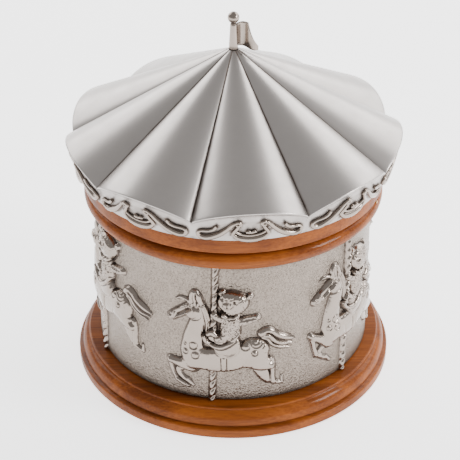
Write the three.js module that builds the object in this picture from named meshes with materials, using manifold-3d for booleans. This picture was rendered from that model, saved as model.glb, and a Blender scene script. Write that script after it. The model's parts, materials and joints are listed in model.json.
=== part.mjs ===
// A wind-up musical carousel of cast pewter and turned wood.
// Millimetres, +Z up. The origin is on the axis of rotation, where the felt meets the table.
// Angles are in degrees about the axis, counted from the front (-Y) towards the right (+X).
import * as THREE from 'three';
import { mergeVertices } from 'three/addons/utils/BufferGeometryUtils.js';
import Module from 'manifold-3d';

const wasm = await Module();
wasm.setup();

// ---------------------------------------------------------------- driving dimensions

const gap = 0.3; // between pieces that touch or are cut by each other
const runningGap = 0.5; // between pieces that turn past each other
const ringSegments = 36; // facets of the large turned pieces, a multiple of the horses
const smallSegments = 14; // facets of shafts, bushes and screws

const felt = { thickness: 1.6, inset: 2.4, lip: 0.4 };

const plinth = {
  margin: 9.5, // foot radius beyond the drum
  height: 12.2,
  web: 2.7, // wood left above the key recess
  recessRadius: 20,
  chamfer: 0.5,
  band: 4.4, // height of the straight edge above the felt
  // The moulding above the edge: how far in from it, and the share of the height up to the top.
  moulding: [
    [0.8, 0.03], [1.9, 0.08], [1.5, 0.15], [1.7, 0.38], [2.4, 0.58], [3.4, 0.74], [4.1, 0.84], [5.2, 1],
  ],
};

const drum = { radius: 55.5, height: 63.8, wall: 2, flange: 5, flangeThickness: 1.5 };

const board = {
  torusRadius: 3.5,
  torusReach: 4.4, // how far the half round stands out from the drum
  torusRise: 3.3, // height of its centre above the drum
  bandReach: 4.5,
  bandHeight: 8, // from the top of the half round
  grooveHeight: 1.5,
  grooveReach: 2, // how far the floor of the groove stands out from the drum
  chamfer: 0.3,
};

const canopy = {
  lobes: 9,
  firstValley: 25.8,
  footReach: 1.5, // valance foot beyond the wooden band
  valleyReach: 3.5, // rim radius beyond the band, in a valley
  ridgeReach: 6.4, // rim radius beyond the band, on a ridge
  valleyRise: 7.6, // rim height above the board, in a valley
  ridgeRise: 14.3, // rim height above the board, on a ridge
  height: 48.3,
  apexRadius: 2.3,
  wall: 2.2,
  roundness: 0.68,
  lobeSegments: 6,
};

const finial = {
  height: 15.6, // from the canopy's apex to the top of the ball
  ballRadius: 2.3,
  footRadius: 1.7,
  neckRadius: 1,
  studRadius: 1.2,
  studLength: 5.2,
  nutRadius: 3,
  nutThickness: 2,
};

const pennant = {
  length: 9.2,
  depth: 10,
  topFall: 5, // how much lower the free end of the upper edge is
  bottomRise: 1.2,
  thickness: 0.8,
  wave: 1.2,
  direction: 122,
  segments: 10,
};

const horses = {
  count: 6,
  first: -7.6,
  lifts: [0, 0.047, 0.125], // shares of the drum's height
  drawnHeight: 61.9, // the drum's height for which the limbs are drawn
  flatness: 0.6,
};

const pole = { radius: 1.8, depth: 0.9, foot: 1.1 };

const screw = { shank: 1.2, head: 2.3, headThickness: 1.5, length: 7, depth: 6.5, segments: 8 };

const bedplate = { thickness: 2.5, rim: 5, corner: 3 };

const arbor = { radius: 2, bushWall: 1, bushFlange: 1.4 };

const clutch = { outerRadius: 4.2, innerRadius: 2.8 };

const key = {
  wingReach: 10.5,
  wingHeight: 5.4,
  thickness: 1.6,
  lift: 1.2, // above the table
  hubRadius: 3.4,
  hubHeight: 7.2,
  socketFloor: 2.4,
  eyeShare: 0.45, // of half the wing's height
};

const barrel = { radius: 13, height: 9.5, wall: 1, coverThickness: 1.2, lift: 1.3, segments: 24 };

const mainspring = { thickness: 0.5, turns: 3.5, innerRadius: 3.4, stepsPerTurn: 14 };

const spindle = {
  radius: 3,
  footRadius: 6,
  footThickness: 1.2,
  flangeRadius: 7,
  flangeThickness: 2,
  threadRadius: 2.5,
  thread: 5.4,
};

const nut = { radius: 4.6, thickness: 3, washerRadius: 8, washerThickness: 1 };

const crown = { teeth: 32, width: 2.4, addendum: 0.75, bodyHeight: 3, toothInset: 0.15 };

const cylinderPinion = { teeth: 8, width: 2.4 };

const cylinder = {
  radius: 6.2,
  wall: 1.1,
  tracks: 18,
  pinLength: 0.8,
  pinRadius: 0.2,
  pinStep: 148.5, // degrees from the pin of one note to the next
  arborRadius: 1.2,
};

const cylinderGear = { teeth: 24, pitchRadius: 7.5, width: 1.6, addendum: 0.45 };

const governorPinion = { teeth: 8, arborRadius: 0.8, wall: 1.3 };

const worm = {
  lead: 1.6,
  pitchRadius: 1.6,
  addendum: 0.42,
  length: 7.2,
  shaftRadius: 0.6,
  tail: 3, // plain shaft below the thread
  wall: 1.2,
  wheelTeeth: 12,
  wheelWidth: 1.4,
};

const fan = { radius: 6, height: 4, thickness: 0.7, lift: 3.2, clearance: 1.5, hubRadius: 1.7, shaftEnd: 1 };

const bracket = { thickness: 1.2, margin: 3, footLength: 6 };

const comb = {
  thickness: 0.9,
  toothLength: 8,
  spine: 6,
  toothShare: 0.55,
  play: 0.35,
  edge: 1,
  screwDepth: 6,
};

const pin = { radius: 0.6, length: 6, proud: 0.15, angle: 69 };

const boss = { radius: 3.6, place: 44, first: 6, screwDepth: 6 };

const toothShare = 0.36; // of the pitch that a tooth fills, so that gears run with play
const rootRoom = 0.2; // between the tip of a tooth and the root of the other gear

// ---------------------------------------------------------------- places that follow

const plinthRadius = drum.radius + plinth.margin;
const plinthBottom = felt.lip;
const plinthTop = plinth.height;
const recessTop = plinthTop - plinth.web;
const drumBottom = plinthTop + gap;
const drumTop = plinthTop + drum.height;
const drumBore = drum.radius - drum.wall;
const boardBottom = drumTop + gap;
const torusCentre = drumTop + board.torusRise;
const grooveLevel = torusCentre + board.torusRadius;
const bandBottom = grooveLevel + board.grooveHeight;
const boardTop = grooveLevel + board.bandHeight;
const bandRadius = drum.radius + board.bandReach;
const footRadius = bandRadius + canopy.footReach;
const canopyBottom = boardTop + gap;
const canopyTop = canopyBottom + canopy.height;
const bedBottom = plinthTop + gap;
const bedTop = bedBottom + bedplate.thickness;
const barrelBottom = bedTop + barrel.lift;
const barrelTop = barrelBottom + barrel.height;
const crownInner = barrel.radius + gap;
const crownOuter = crownInner + crown.width;
const crownPitchRadius = (crownInner + crownOuter) / 2;
const pinionPitchRadius = crownPitchRadius * cylinderPinion.teeth / crown.teeth;
const crownRoot = barrelTop + runningGap;
const crownPitchLevel = crownRoot + crown.addendum + rootRoom;
const cylinderLevel = crownPitchLevel + pinionPitchRadius;
const governorPinionRadius = cylinderGear.pitchRadius * governorPinion.teeth / cylinderGear.teeth;
const governorY = cylinderGear.pitchRadius + governorPinionRadius;
const wormWheelRadius = worm.wheelTeeth * worm.lead / (2 * Math.PI);
const wormY = governorY + wormWheelRadius + worm.pitchRadius;

// Places along the cylinder's axis (+X), from the spring barrel outwards to the drum's wall.
const nearBracketX = crownOuter + runningGap;
const cylinderStart = nearBracketX + bracket.thickness + gap;
const fanRoom = drumBore - fan.radius - fan.clearance;
const wormX = Math.sqrt(fanRoom ** 2 - wormY ** 2);
const wheelX = wormX - worm.wheelWidth / 2;
const farBracketX = wheelX - runningGap - gap - bracket.thickness;
const gearX = farBracketX - runningGap - cylinderGear.width;
const cylinderEnd = gearX - gap;
const cylinderLength = cylinderEnd - cylinderStart;
const outerBracketX = wormX + worm.pitchRadius + worm.addendum + runningGap;
const bedFront = outerBracketX + bracket.thickness + gap;
const farBracketSide = governorY + governorPinion.arborRadius + governorPinion.wall;
const outerBracketSide = wormY + worm.pitchRadius + worm.wall;
const combTip = cylinder.radius + cylinder.pinLength + comb.play;
const combRoot = combTip + comb.toothLength;
const combBack = combRoot + comb.spine;
const combBottom = cylinderLevel - comb.thickness / 2;
const fanBottom = cylinderLevel + worm.length / 2 + fan.lift;
const wormTop = fanBottom + fan.height + fan.shaftEnd;
const wormFoot = cylinderLevel - worm.length / 2 - worm.tail;
const bedBack = -(barrel.radius + bedplate.rim);
const bedHalfWidth = combBack + comb.edge;
const movementScrewPlace = plinth.recessRadius - screw.head - screw.headThickness;
const clutchBore = clutch.outerRadius + gap;
const drumScrewPlace = drumBore - drum.flange / 2;
const ballCentre = canopyTop + finial.height - finial.ballRadius;

// ---------------------------------------------------------------- materials

function finish(color, roughness, metalness) {
  return { color, roughness, metalness };
}

const finishes = {
  pewter: finish(0xa59a91, 0.45, 0.9),
  polishedPewter: finish(0xb4aca4, 0.3, 0.95),
  wood: finish(0x8d5330, 0.25, 0),
  felt: finish(0x2f4a35, 0.95, 0),
  steel: finish(0x9a9ca0, 0.35, 1),
  springSteel: finish(0x4c5058, 0.4, 1),
  brass: finish(0xc09a4a, 0.35, 1),
};

// ---------------------------------------------------------------- mesh helpers

// Merges shared corners, drops triangles that collapse on the axis, and turns faces outwards.
function closed(geometry) {
  const bare = geometry.clone();
  bare.deleteAttribute('normal');
  bare.deleteAttribute('uv');
  const merged = mergeVertices(bare, 1e-4);
  const kept = [];
  let volume = 0;
  const corner = [new THREE.Vector3(), new THREE.Vector3(), new THREE.Vector3()];
  for (let i = 0; i < merged.index.count; i += 3) {
    const triangle = [0, 1, 2].map((k) => merged.index.getX(i + k));
    if (new Set(triangle).size < 3) continue;
    triangle.forEach((v, k) => corner[k].fromBufferAttribute(merged.attributes.position, v));
    volume += corner[0].dot(corner[1].clone().cross(corner[2]));
    kept.push(triangle);
  }
  if (volume < 0) kept.forEach((triangle) => triangle.reverse());
  merged.setIndex(kept.flat());
  return merged;
}

function toSolid(geometry) {
  const mesh = closed(geometry);
  return new wasm.Manifold(new wasm.Mesh({
    numProp: 3,
    vertProperties: new Float32Array(mesh.attributes.position.array),
    triVerts: new Uint32Array(mesh.index.array),
  }));
}

function fromSolid(solid) {
  const mesh = solid.getMesh();
  const geometry = new THREE.BufferGeometry();
  geometry.setAttribute('position', new THREE.BufferAttribute(new Float32Array(mesh.vertProperties), 3));
  geometry.setIndex(new THREE.BufferAttribute(new Uint32Array(mesh.triVerts), 1));
  return geometry;
}

function join(...geometries) {
  return fromSolid(geometries.map(toSolid).reduce((whole, next) => whole.add(next)));
}

function cut(geometry, ...tools) {
  return fromSolid(tools.map(toSolid).reduce((whole, tool) => whole.subtract(tool), toSolid(geometry)));
}

const radians = THREE.MathUtils.degToRad;

// A point on the circle of the given radius, at an angle from the front.
function around(radius, degrees, z = 0) {
  return [radius * Math.sin(radians(degrees)), -radius * Math.cos(radians(degrees)), z];
}

// A turned piece: [radius, height] points, up the outside and down the inside or the axis.
function turned(profile, segments = smallSegments) {
  const points = profile.map(([radius, height]) => new THREE.Vector2(radius, height));
  return new THREE.LatheGeometry(points, segments).rotateX(Math.PI / 2);
}

function ring(outer, inner, bottom, top, segments = smallSegments) {
  return turned([[inner, bottom], [outer, bottom], [outer, top], [inner, top], [inner, bottom]], segments);
}

function disc(radius, bottom, top, segments = smallSegments) {
  return turned([[0, bottom], [radius, bottom], [radius, top], [0, top]], segments);
}

// A turned piece whose outline changes round the axis: each step is a function that gives
// [radius, height] at an angle.
function shaped(outline, segments) {
  const blank = outline.map((_, step) => new THREE.Vector2(1, step));
  const geometry = new THREE.LatheGeometry(blank, segments);
  const position = geometry.attributes.position;
  for (let column = 0; column <= segments; column += 1) {
    const degrees = 360 * (column % segments) / segments;
    outline.forEach((place, step) => {
      const [radius, height] = place(degrees);
      position.setXYZ(column * outline.length + step, ...around(radius, degrees, height));
    });
  }
  return geometry;
}

function block([x0, y0, z0], [x1, y1, z1]) {
  const box = new THREE.BoxGeometry(x1 - x0, y1 - y0, z1 - z0);
  return box.translate((x0 + x1) / 2, (y0 + y1) / 2, (z0 + z1) / 2);
}

function extruded(shape, depth, curveSegments = 8) {
  return new THREE.ExtrudeGeometry(shape, { depth, bevelEnabled: false, curveSegments });
}

// Lays a piece that was drawn in XY and grown along Z so that it grows along +X instead.
function alongX(geometry) {
  return geometry.rotateX(Math.PI / 2).rotateZ(Math.PI / 2);
}

function rodX(radius, x0, x1, y, z, segments = 12) {
  return alongX(disc(radius, 0, x1 - x0, segments)).translate(x0, y, z);
}

// ---------------------------------------------------------------- gears

function gearShape(teeth, pitchRadius, addendum, boreRadius) {
  const pitchAngle = 2 * Math.PI / teeth;
  const root = pitchRadius - addendum - rootRoom;
  const tip = pitchRadius + addendum;
  const tooth = [[root, -0.62], [tip, -0.36], [tip, 0.36], [root, 0.62]];
  const points = [];
  for (let index = 0; index < teeth; index += 1) {
    for (const [radius, share] of tooth) {
      const angle = (index + share * toothShare) * pitchAngle;
      points.push(new THREE.Vector2(radius * Math.cos(angle), radius * Math.sin(angle)));
    }
  }
  const shape = new THREE.Shape(points);
  shape.holes.push(new THREE.Path().absarc(0, 0, boreRadius, 0, 2 * Math.PI, true));
  return shape;
}

// A gear on an arbor along +X. With no turn, one tooth points to +Y.
function gearAlongX(teeth, pitchRadius, addendum, bore, width, x, y, turn = 0) {
  const flat = extruded(gearShape(teeth, pitchRadius, addendum, bore), width, 6);
  return alongX(flat).rotateX(turn).translate(x, y, cylinderLevel);
}

// ---------------------------------------------------------------- screws and nuts

// A round-headed screw that points up (+Z), with the underside of its head at the given height.
function screwUp(headHeight, length, degrees, place) {
  const [x, y] = around(place, degrees);
  const profile = [
    [0, headHeight - screw.headThickness],
    [screw.head, headHeight - screw.headThickness * 0.6],
    [screw.head, headHeight],
    [screw.shank, headHeight],
    [screw.shank, headHeight + length],
    [0, headHeight + length],
  ];
  return turned(profile, screw.segments).translate(x, y, 0);
}

function screwDown(headHeight, length, x, y) {
  return screwUp(0, length, 0, 0).rotateX(Math.PI).translate(x, y, headHeight);
}

function screwHole(bottom, top, degrees, place) {
  const [x, y] = around(place, degrees);
  return disc(screw.shank + gap, bottom, top, screw.segments).translate(x, y, 0);
}

function holeAt([x, y], bottom, top) {
  return screwHole(bottom, top, 0, 0).translate(x, y, 0);
}

function hexNut(radius, bore, thickness, bottom) {
  const corners = Array.from({ length: 6 }, (_, side) => around(radius, side * 60));
  const shape = new THREE.Shape(corners.map(([x, y]) => new THREE.Vector2(x, y)));
  shape.holes.push(new THREE.Path().absarc(0, 0, bore, 0, 2 * Math.PI, true));
  return extruded(shape, thickness).translate(0, 0, bottom);
}

const thirds = [0, 120, 240];

// ---------------------------------------------------------------- foot

function makePlinth() {
  const foot = plinthRadius;
  const bandTop = plinthBottom + plinth.band;
  const seat = felt.thickness + gap;
  const profile = [
    [clutchBore, recessTop],
    [plinth.recessRadius, recessTop],
    [plinth.recessRadius, seat],
    [foot - felt.inset, seat],
    [foot - felt.inset, plinthBottom],
    [foot - plinth.chamfer, plinthBottom],
    [foot, plinthBottom + plinth.chamfer],
    [foot, bandTop],
    ...plinth.moulding.map(([inset, share]) => (
      [foot - inset, THREE.MathUtils.lerp(bandTop, plinthTop, share)])),
    [clutchBore, plinthTop],
    [clutchBore, recessTop],
  ];
  const holes = thirds.map((degrees) => screwHole(0, plinthTop + 1, degrees, movementScrewPlace));
  return cut(turned(profile, ringSegments), ...holes);
}

function makeFelt() {
  return ring(plinthRadius - felt.inset - gap, plinth.recessRadius + 1, 0, felt.thickness, ringSegments);
}

// ---------------------------------------------------------------- fixed part of the movement

function makeBedplate() {
  const [x0, x1, y, c] = [bedBack, bedFront, bedHalfWidth, bedplate.corner];
  const outline = new THREE.Shape();
  outline.moveTo(x0 + c, -y).lineTo(x1 - c, -y);
  outline.absarc(x1 - c, -y + c, c, -Math.PI / 2, 0, false);
  outline.absarc(x1 - c, y - c, c, 0, Math.PI / 2, false);
  outline.absarc(x0 + c, y - c, c, Math.PI / 2, Math.PI, false);
  outline.absarc(x0 + c, -y + c, c, Math.PI, 1.5 * Math.PI, false);
  const plate = extruded(outline, bedplate.thickness, 3).translate(0, 0, bedBottom);
  const pedestal = block(
    [cylinderStart, -combBack, bedTop - 1],
    [cylinderEnd, -combRoot - comb.edge, combBottom - gap],
  );
  const bush = disc(arbor.radius + arbor.bushWall + 2 * gap, 0, bedTop + 1);
  const movementHoles = thirds.map((degrees) => screwHole(0, bedTop + 1, degrees, movementScrewPlace));
  const combHoles = combScrewPlaces().map((place) => holeAt(place, combBottom - comb.screwDepth, combBottom));
  const bracketHoles = bracketScrewPlaces().map((place) => holeAt(place, 0, bedTop + 1));
  return cut(join(plate, pedestal), bush, ...movementHoles, ...combHoles, ...bracketHoles);
}

function combScrewPlaces() {
  const y = -(combRoot + comb.edge + combBack) / 2;
  return [0.2, 0.8].map((share) => [cylinderStart + share * cylinderLength, y]);
}

function bracketScrewPlaces() {
  const reach = bracket.thickness + bracket.footLength / 2;
  return [
    [nearBracketX + reach, 0],
    [farBracketX - bracket.footLength / 2, governorY / 2],
    [outerBracketX - bracket.footLength / 2, (farBracketSide + gap + outerBracketSide) / 2],
  ];
}

function makeClutchSpring() {
  return ring(clutch.outerRadius, clutch.innerRadius, recessTop + gap, bedBottom - gap);
}

function makeArborBush() {
  const bore = arbor.radius + gap;
  const wall = bore + arbor.bushWall;
  const profile = [
    [bore, bedBottom],
    [wall, bedBottom],
    [wall, bedTop + gap],
    [wall + arbor.bushFlange, bedTop + gap],
    [wall + arbor.bushFlange, barrelBottom - gap],
    [bore, barrelBottom - gap],
    [bore, bedBottom],
  ];
  return turned(profile);
}

// An upright plate across the cylinder's axis, on a foot that is screwed down, with its bores.
function uprightBracket(x, plate, foot, bores, footScrew) {
  const bottom = bedTop + gap;
  const upright = block([x, plate.y0, bottom], [x + bracket.thickness, plate.y1, plate.top]);
  const base = block(
    [Math.min(x, foot.x), foot.y0, bottom],
    [Math.max(x + bracket.thickness, foot.x), foot.y1, bottom + bracket.thickness],
  );
  const end = x + bracket.thickness + 1;
  const tools = bores.map(([y, radius]) => rodX(radius + gap, x - 1, end, y, cylinderLevel));
  return cut(join(upright, base), ...tools, holeAt(footScrew, 0, bottom + 2 * bracket.thickness));
}

function makeBracketNear() {
  const half = cylinder.arborRadius + bracket.margin;
  const plate = { y0: -half, y1: half, top: cylinderLevel + half };
  const foot = { x: nearBracketX + bracket.thickness + bracket.footLength, y0: -half, y1: half };
  return uprightBracket(nearBracketX, plate, foot, [[0, cylinder.arborRadius]], bracketScrewPlaces()[0]);
}

function makeBracketFar() {
  const half = cylinder.arborRadius + bracket.margin;
  const plate = { y0: -half, y1: farBracketSide, top: cylinderLevel + half };
  const foot = { x: farBracketX - bracket.footLength, y0: -half, y1: farBracketSide };
  const bores = [[0, cylinder.arborRadius], [governorY, governorPinion.arborRadius]];
  return uprightBracket(farBracketX, plate, foot, bores, bracketScrewPlaces()[1]);
}

// Holds the outer end of the governor arbor and both ends of the worm shaft.
function makeGovernorBracket() {
  const top = fanBottom - runningGap;
  const plate = { y0: governorY - bracket.margin, y1: outerBracketSide, top };
  const foot = { x: outerBracketX - bracket.footLength, y0: farBracketSide + gap, y1: outerBracketSide };
  const bores = [[governorY, governorPinion.arborRadius]];
  const upright = uprightBracket(outerBracketX, plate, foot, bores, bracketScrewPlaces()[2]);
  const side = outerBracketSide - wormY;
  const ear = (bottom) => block(
    [wormX - side, farBracketSide + gap, bottom],
    [outerBracketX + 0.1, outerBracketSide, bottom + bracket.thickness],
  );
  const shaft = disc(worm.shaftRadius + gap, wormFoot, top + 1, 10).translate(wormX, wormY, 0);
  return cut(join(upright, ear(wormFoot + 0.6), ear(top - bracket.thickness)), shaft);
}

function makeComb() {
  const pitch = cylinderLength / cylinder.tracks;
  const half = pitch * comb.toothShare / 2;
  const points = [
    [cylinderEnd, -combRoot],
    [cylinderEnd, -combBack],
    [cylinderStart, -combBack],
    [cylinderStart, -combRoot],
  ];
  for (let track = 0; track < cylinder.tracks; track += 1) {
    const x = trackX(track);
    points.push([x - half, -combRoot], [x - half, -combTip], [x + half, -combTip], [x + half, -combRoot]);
  }
  const outline = new THREE.Shape(points.map(([x, y]) => new THREE.Vector2(x, y)));
  const plate = extruded(outline, comb.thickness).translate(0, 0, combBottom);
  const above = combBottom + comb.thickness + 1;
  const holes = combScrewPlaces().map((place) => holeAt(place, combBottom - 1, above));
  return cut(plate, ...holes);
}

function trackX(track) {
  return cylinderStart + (track + 0.5) * cylinderLength / cylinder.tracks;
}

// ---------------------------------------------------------------- winding key

function makeKey() {
  const wings = new THREE.Shape();
  const [reach, half] = [key.wingReach, key.wingHeight / 2];
  wings.moveTo(-reach + half, -half).lineTo(reach - half, -half);
  wings.absarc(reach - half, 0, half, -Math.PI / 2, Math.PI / 2, false);
  wings.lineTo(-reach + half, half);
  wings.absarc(-reach + half, 0, half, Math.PI / 2, 1.5 * Math.PI, false);
  for (const side of [-1, 1]) {
    const eye = new THREE.Path().absarc(side * (reach - half), 0, half * key.eyeShare, 0, 2 * Math.PI, true);
    wings.holes.push(eye);
  }
  const plate = extruded(wings, key.thickness, 5).translate(0, 0, -key.thickness / 2)
    .rotateX(Math.PI / 2).translate(0, 0, key.lift + half);
  const hub = disc(key.hubRadius, key.lift + 1, key.lift + key.hubHeight);
  return cut(join(plate, hub), disc(arbor.radius + gap, key.lift + key.socketFloor, recessTop));
}

function makeArbor() {
  const bottom = key.lift + key.socketFloor + gap;
  const top = barrelTop - barrel.coverThickness - 2 * gap;
  return disc(arbor.radius, bottom, top);
}

// ---------------------------------------------------------------- turning part of the movement

function makeBarrel() {
  const bore = arbor.radius + gap;
  const profile = [
    [bore, barrelBottom],
    [barrel.radius, barrelBottom],
    [barrel.radius, barrelTop],
    [barrel.radius - barrel.wall, barrelTop],
    [barrel.radius - barrel.wall, barrelBottom + barrel.wall],
    [bore, barrelBottom + barrel.wall],
    [bore, barrelBottom],
  ];
  return turned(profile, barrel.segments);
}

function makeBarrelCover() {
  const top = barrelTop - gap;
  return disc(barrel.radius - barrel.wall - gap, top - barrel.coverThickness, top, barrel.segments);
}

function makeCrownWheel() {
  const wheel = ring(crownOuter, crownInner, crownRoot - crown.bodyHeight, crownRoot, barrel.segments);
  const half = toothShare * Math.PI * crownPitchRadius / crown.teeth;
  const teeth = [];
  for (let index = 0; index < crown.teeth; index += 1) {
    const tooth = block(
      [-half, -crownOuter + crown.toothInset, crownRoot - gap],
      [half, -crownInner - crown.toothInset, crownPitchLevel + crown.addendum],
    );
    // A gap between two teeth faces the pinion, which lies to the right.
    teeth.push(tooth.rotateZ(radians(90 + (index + 0.5) * 360 / crown.teeth)));
  }
  return join(wheel, ...teeth);
}

function makeMainspring() {
  const outerRadius = barrel.radius - barrel.wall - gap - mainspring.thickness;
  const steps = Math.round(mainspring.turns * mainspring.stepsPerTurn);
  const edge = (offset) => Array.from({ length: steps + 1 }, (_, step) => {
    const radius = THREE.MathUtils.lerp(mainspring.innerRadius, outerRadius, step / steps) + offset;
    const angle = 2 * Math.PI * mainspring.turns * step / steps;
    return new THREE.Vector2(radius * Math.cos(angle), radius * Math.sin(angle));
  });
  const outline = [...edge(mainspring.thickness / 2), ...edge(-mainspring.thickness / 2).reverse()];
  const height = barrel.height - barrel.wall - barrel.coverThickness - 4 * gap;
  return extruded(new THREE.Shape(outline), height).translate(0, 0, barrelBottom + barrel.wall + gap);
}

function makeSpindle() {
  const foot = barrelTop;
  const shoulder = boardBottom - gap;
  const top = boardTop + spindle.thread;
  const profile = [
    [0, foot],
    [spindle.footRadius, foot],
    [spindle.footRadius, foot + spindle.footThickness],
    [spindle.radius, foot + spindle.footThickness],
    [spindle.radius, shoulder - spindle.flangeThickness - 1],
    [spindle.flangeRadius, shoulder - spindle.flangeThickness],
    [spindle.flangeRadius, shoulder],
    [spindle.threadRadius, shoulder],
    [spindle.threadRadius, top],
    [0, top],
  ];
  return turned(profile);
}

// ---------------------------------------------------------------- cylinder, governor and fan

function makePinCylinder() {
  const inner = cylinder.radius - cylinder.wall;
  const bore = cylinder.arborRadius + gap;
  const middle = cylinderLength / 2;
  const profile = [
    [inner, 0],
    [cylinder.radius, 0],
    [cylinder.radius, cylinderLength],
    [inner, cylinderLength],
    [inner, middle + 1],
    [bore, middle + 1],
    [bore, middle - 1],
    [inner, middle - 1],
    [inner, 0],
  ];
  const sleeve = alongX(turned(profile, 16)).translate(cylinderStart, 0, cylinderLevel);
  const tall = cylinder.pinLength + cylinder.wall / 2;
  const pins = Array.from({ length: cylinder.tracks }, (_, track) => (
    new THREE.CylinderGeometry(cylinder.pinRadius / 2, cylinder.pinRadius, tall, 4)
      .translate(0, cylinder.radius + cylinder.pinLength - tall / 2, 0)
      .rotateX(radians(track * cylinder.pinStep))
      .translate(trackX(track), 0, cylinderLevel)));
  return join(sleeve, ...pins);
}

// The shaft carries a right-handed thread, with a groove facing the wheel at the wheel's height.
function makeWormShaft() {
  const [bottom, top] = [cylinderLevel - worm.length / 2, cylinderLevel + worm.length / 2];
  const [root, tip] = [worm.pitchRadius - worm.addendum - rootRoom, worm.pitchRadius + worm.addendum];
  const rows = Math.round(worm.length / worm.lead * 6);
  const thread = Array.from({ length: rows + 1 }, (_, row) => (degrees) => {
    const height = THREE.MathUtils.lerp(bottom, top, row / rows);
    const turns = (height - cylinderLevel) / worm.lead - 0.5 - degrees / 360;
    const fromRidge = Math.abs(turns - Math.round(turns));
    const rise = THREE.MathUtils.clamp((0.28 - fromRidge) / 0.18, 0, 1);
    return [THREE.MathUtils.lerp(root, tip, rise), height];
  });
  const outline = [
    () => [0, wormFoot],
    () => [worm.shaftRadius, wormFoot],
    () => [worm.shaftRadius, bottom],
    ...thread,
    () => [worm.shaftRadius, top],
    () => [worm.shaftRadius, wormTop],
    () => [0, wormTop],
  ];
  return shaped(outline, 10).translate(wormX, wormY, 0);
}

function makeFan() {
  const blades = block(
    [-fan.radius, -fan.thickness / 2, fanBottom],
    [fan.radius, fan.thickness / 2, fanBottom + fan.height],
  );
  const hub = disc(fan.hubRadius, fanBottom, fanBottom + fan.height, 10);
  const bore = disc(worm.shaftRadius + gap, fanBottom - 1, fanBottom + fan.height + 1, 10);
  return cut(join(blades, hub), bore).translate(wormX, wormY, 0);
}

// ---------------------------------------------------------------- drum and wooden top ring

function makeDrum() {
  const flangeBore = drumBore - drum.flange;
  const flangeBottom = drumTop - drum.flangeThickness;
  const profile = [
    [drumBore, drumBottom],
    [drum.radius, drumBottom],
    [drum.radius, drumTop],
    [flangeBore, drumTop],
    [flangeBore, flangeBottom],
    [drumBore, flangeBottom],
    [drumBore, drumBottom],
  ];
  const holes = thirds.map((degrees) => screwHole(flangeBottom - 1, drumTop + 1, degrees, drumScrewPlace));
  return cut(turned(profile, ringSegments), ...holes);
}

function makeBoard() {
  const bore = spindle.threadRadius + gap;
  const centre = drum.radius + board.torusReach - board.torusRadius;
  const start = Math.asin((boardBottom - torusCentre) / board.torusRadius);
  const round = Array.from({ length: 7 }, (_, step) => {
    const angle = THREE.MathUtils.lerp(start, Math.PI / 2, step / 6);
    return [centre + board.torusRadius * Math.cos(angle), torusCentre + board.torusRadius * Math.sin(angle)];
  });
  const profile = [
    [bore, boardBottom],
    ...round,
    [drum.radius + board.grooveReach, bandBottom],
    [bandRadius - board.chamfer, bandBottom],
    [bandRadius, bandBottom + board.chamfer],
    [bandRadius, boardTop],
    [bore, boardTop],
    [bore, boardBottom],
  ];
  const drumHoles = thirds.map((degrees) => (
    screwHole(boardBottom - 1, boardBottom + screw.depth, degrees, drumScrewPlace)));
  const canopyHoles = thirds.map((degrees) => (
    screwHole(boardBottom - 1, boardTop + 1, boss.first + degrees, boss.place)));
  return cut(turned(profile, ringSegments), ...drumHoles, ...canopyHoles, ringPin(gap, 1));
}

// The pin that locks the band, laid along a radius; it can be made wider and longer to cut its hole.
function ringPin(extraRadius = 0, extraLength = 0) {
  const length = pin.length + extraRadius + extraLength;
  const start = bandRadius + pin.proud - pin.length - extraRadius;
  return disc(pin.radius + extraRadius, start, start + length, 10)
    .rotateX(Math.PI / 2)
    .rotateZ(radians(pin.angle))
    .translate(0, 0, (grooveLevel + bandBottom) / 2);
}

// ---------------------------------------------------------------- canopy and finial

// How full the lobe is at an angle: 0 in a valley, 1 on a ridge.
function fullness(degrees) {
  const width = 360 / canopy.lobes;
  const turns = (degrees - canopy.firstValley) / width;
  const across = 2 * (turns - Math.floor(turns)) - 1;
  return Math.max(0, Math.cos(across * Math.PI / 2)) ** canopy.roundness;
}

function rim(degrees) {
  const full = fullness(degrees);
  return [
    bandRadius + THREE.MathUtils.lerp(canopy.valleyReach, canopy.ridgeReach, full),
    canopyBottom + THREE.MathUtils.lerp(canopy.valleyRise, canopy.ridgeRise, full),
  ];
}

// A point on the roof, from the rim (share 0) straight up to the apex (share 1).
function roof(share, degrees) {
  const [radius, height] = rim(degrees);
  return [
    THREE.MathUtils.lerp(radius, canopy.apexRadius, share),
    THREE.MathUtils.lerp(height, canopyTop, share),
  ];
}

function makeCanopy() {
  const roofSteps = [0, 0.33, 0.66, 1];
  const outside = [
    () => [footRadius, canopyBottom],
    (degrees) => {
      const [radius, height] = rim(degrees);
      return [(radius + footRadius) / 2, (height + canopyBottom) / 2];
    },
    ...roofSteps.map((share) => (degrees) => roof(share, degrees)),
  ];
  const bore = finial.studRadius + gap;
  const inward = ([radius, height], share) => [radius - canopy.wall * (1 - 0.8 * share), height - canopy.wall];
  const inside = [
    () => [bore, canopyTop],
    () => [bore, canopyTop - canopy.wall],
    () => [canopy.apexRadius + 0.6, canopyTop - canopy.wall],
    ...[0.66, 0.33, 0].map((share) => (degrees) => inward(roof(share, degrees), share)),
    () => [footRadius - canopy.wall, canopyBottom],
  ];
  const outline = [...outside, ...inside, outside[0]];
  const shell = shaped(outline, canopy.lobes * canopy.lobeSegments);
  const bossTop = roof(1 - boss.place / rim(boss.first)[0], boss.first)[1] - canopy.wall - 1;
  const bosses = thirds.map((degrees) => disc(boss.radius, canopyBottom, bossTop, 12)
    .translate(...around(boss.place, boss.first + degrees)));
  const holes = thirds.map((degrees) => screwHole(
    canopyBottom - 1, canopyBottom + boss.screwDepth + 1, boss.first + degrees, boss.place,
  ));
  return cut(join(shell, ...bosses), ...holes);
}

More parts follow.
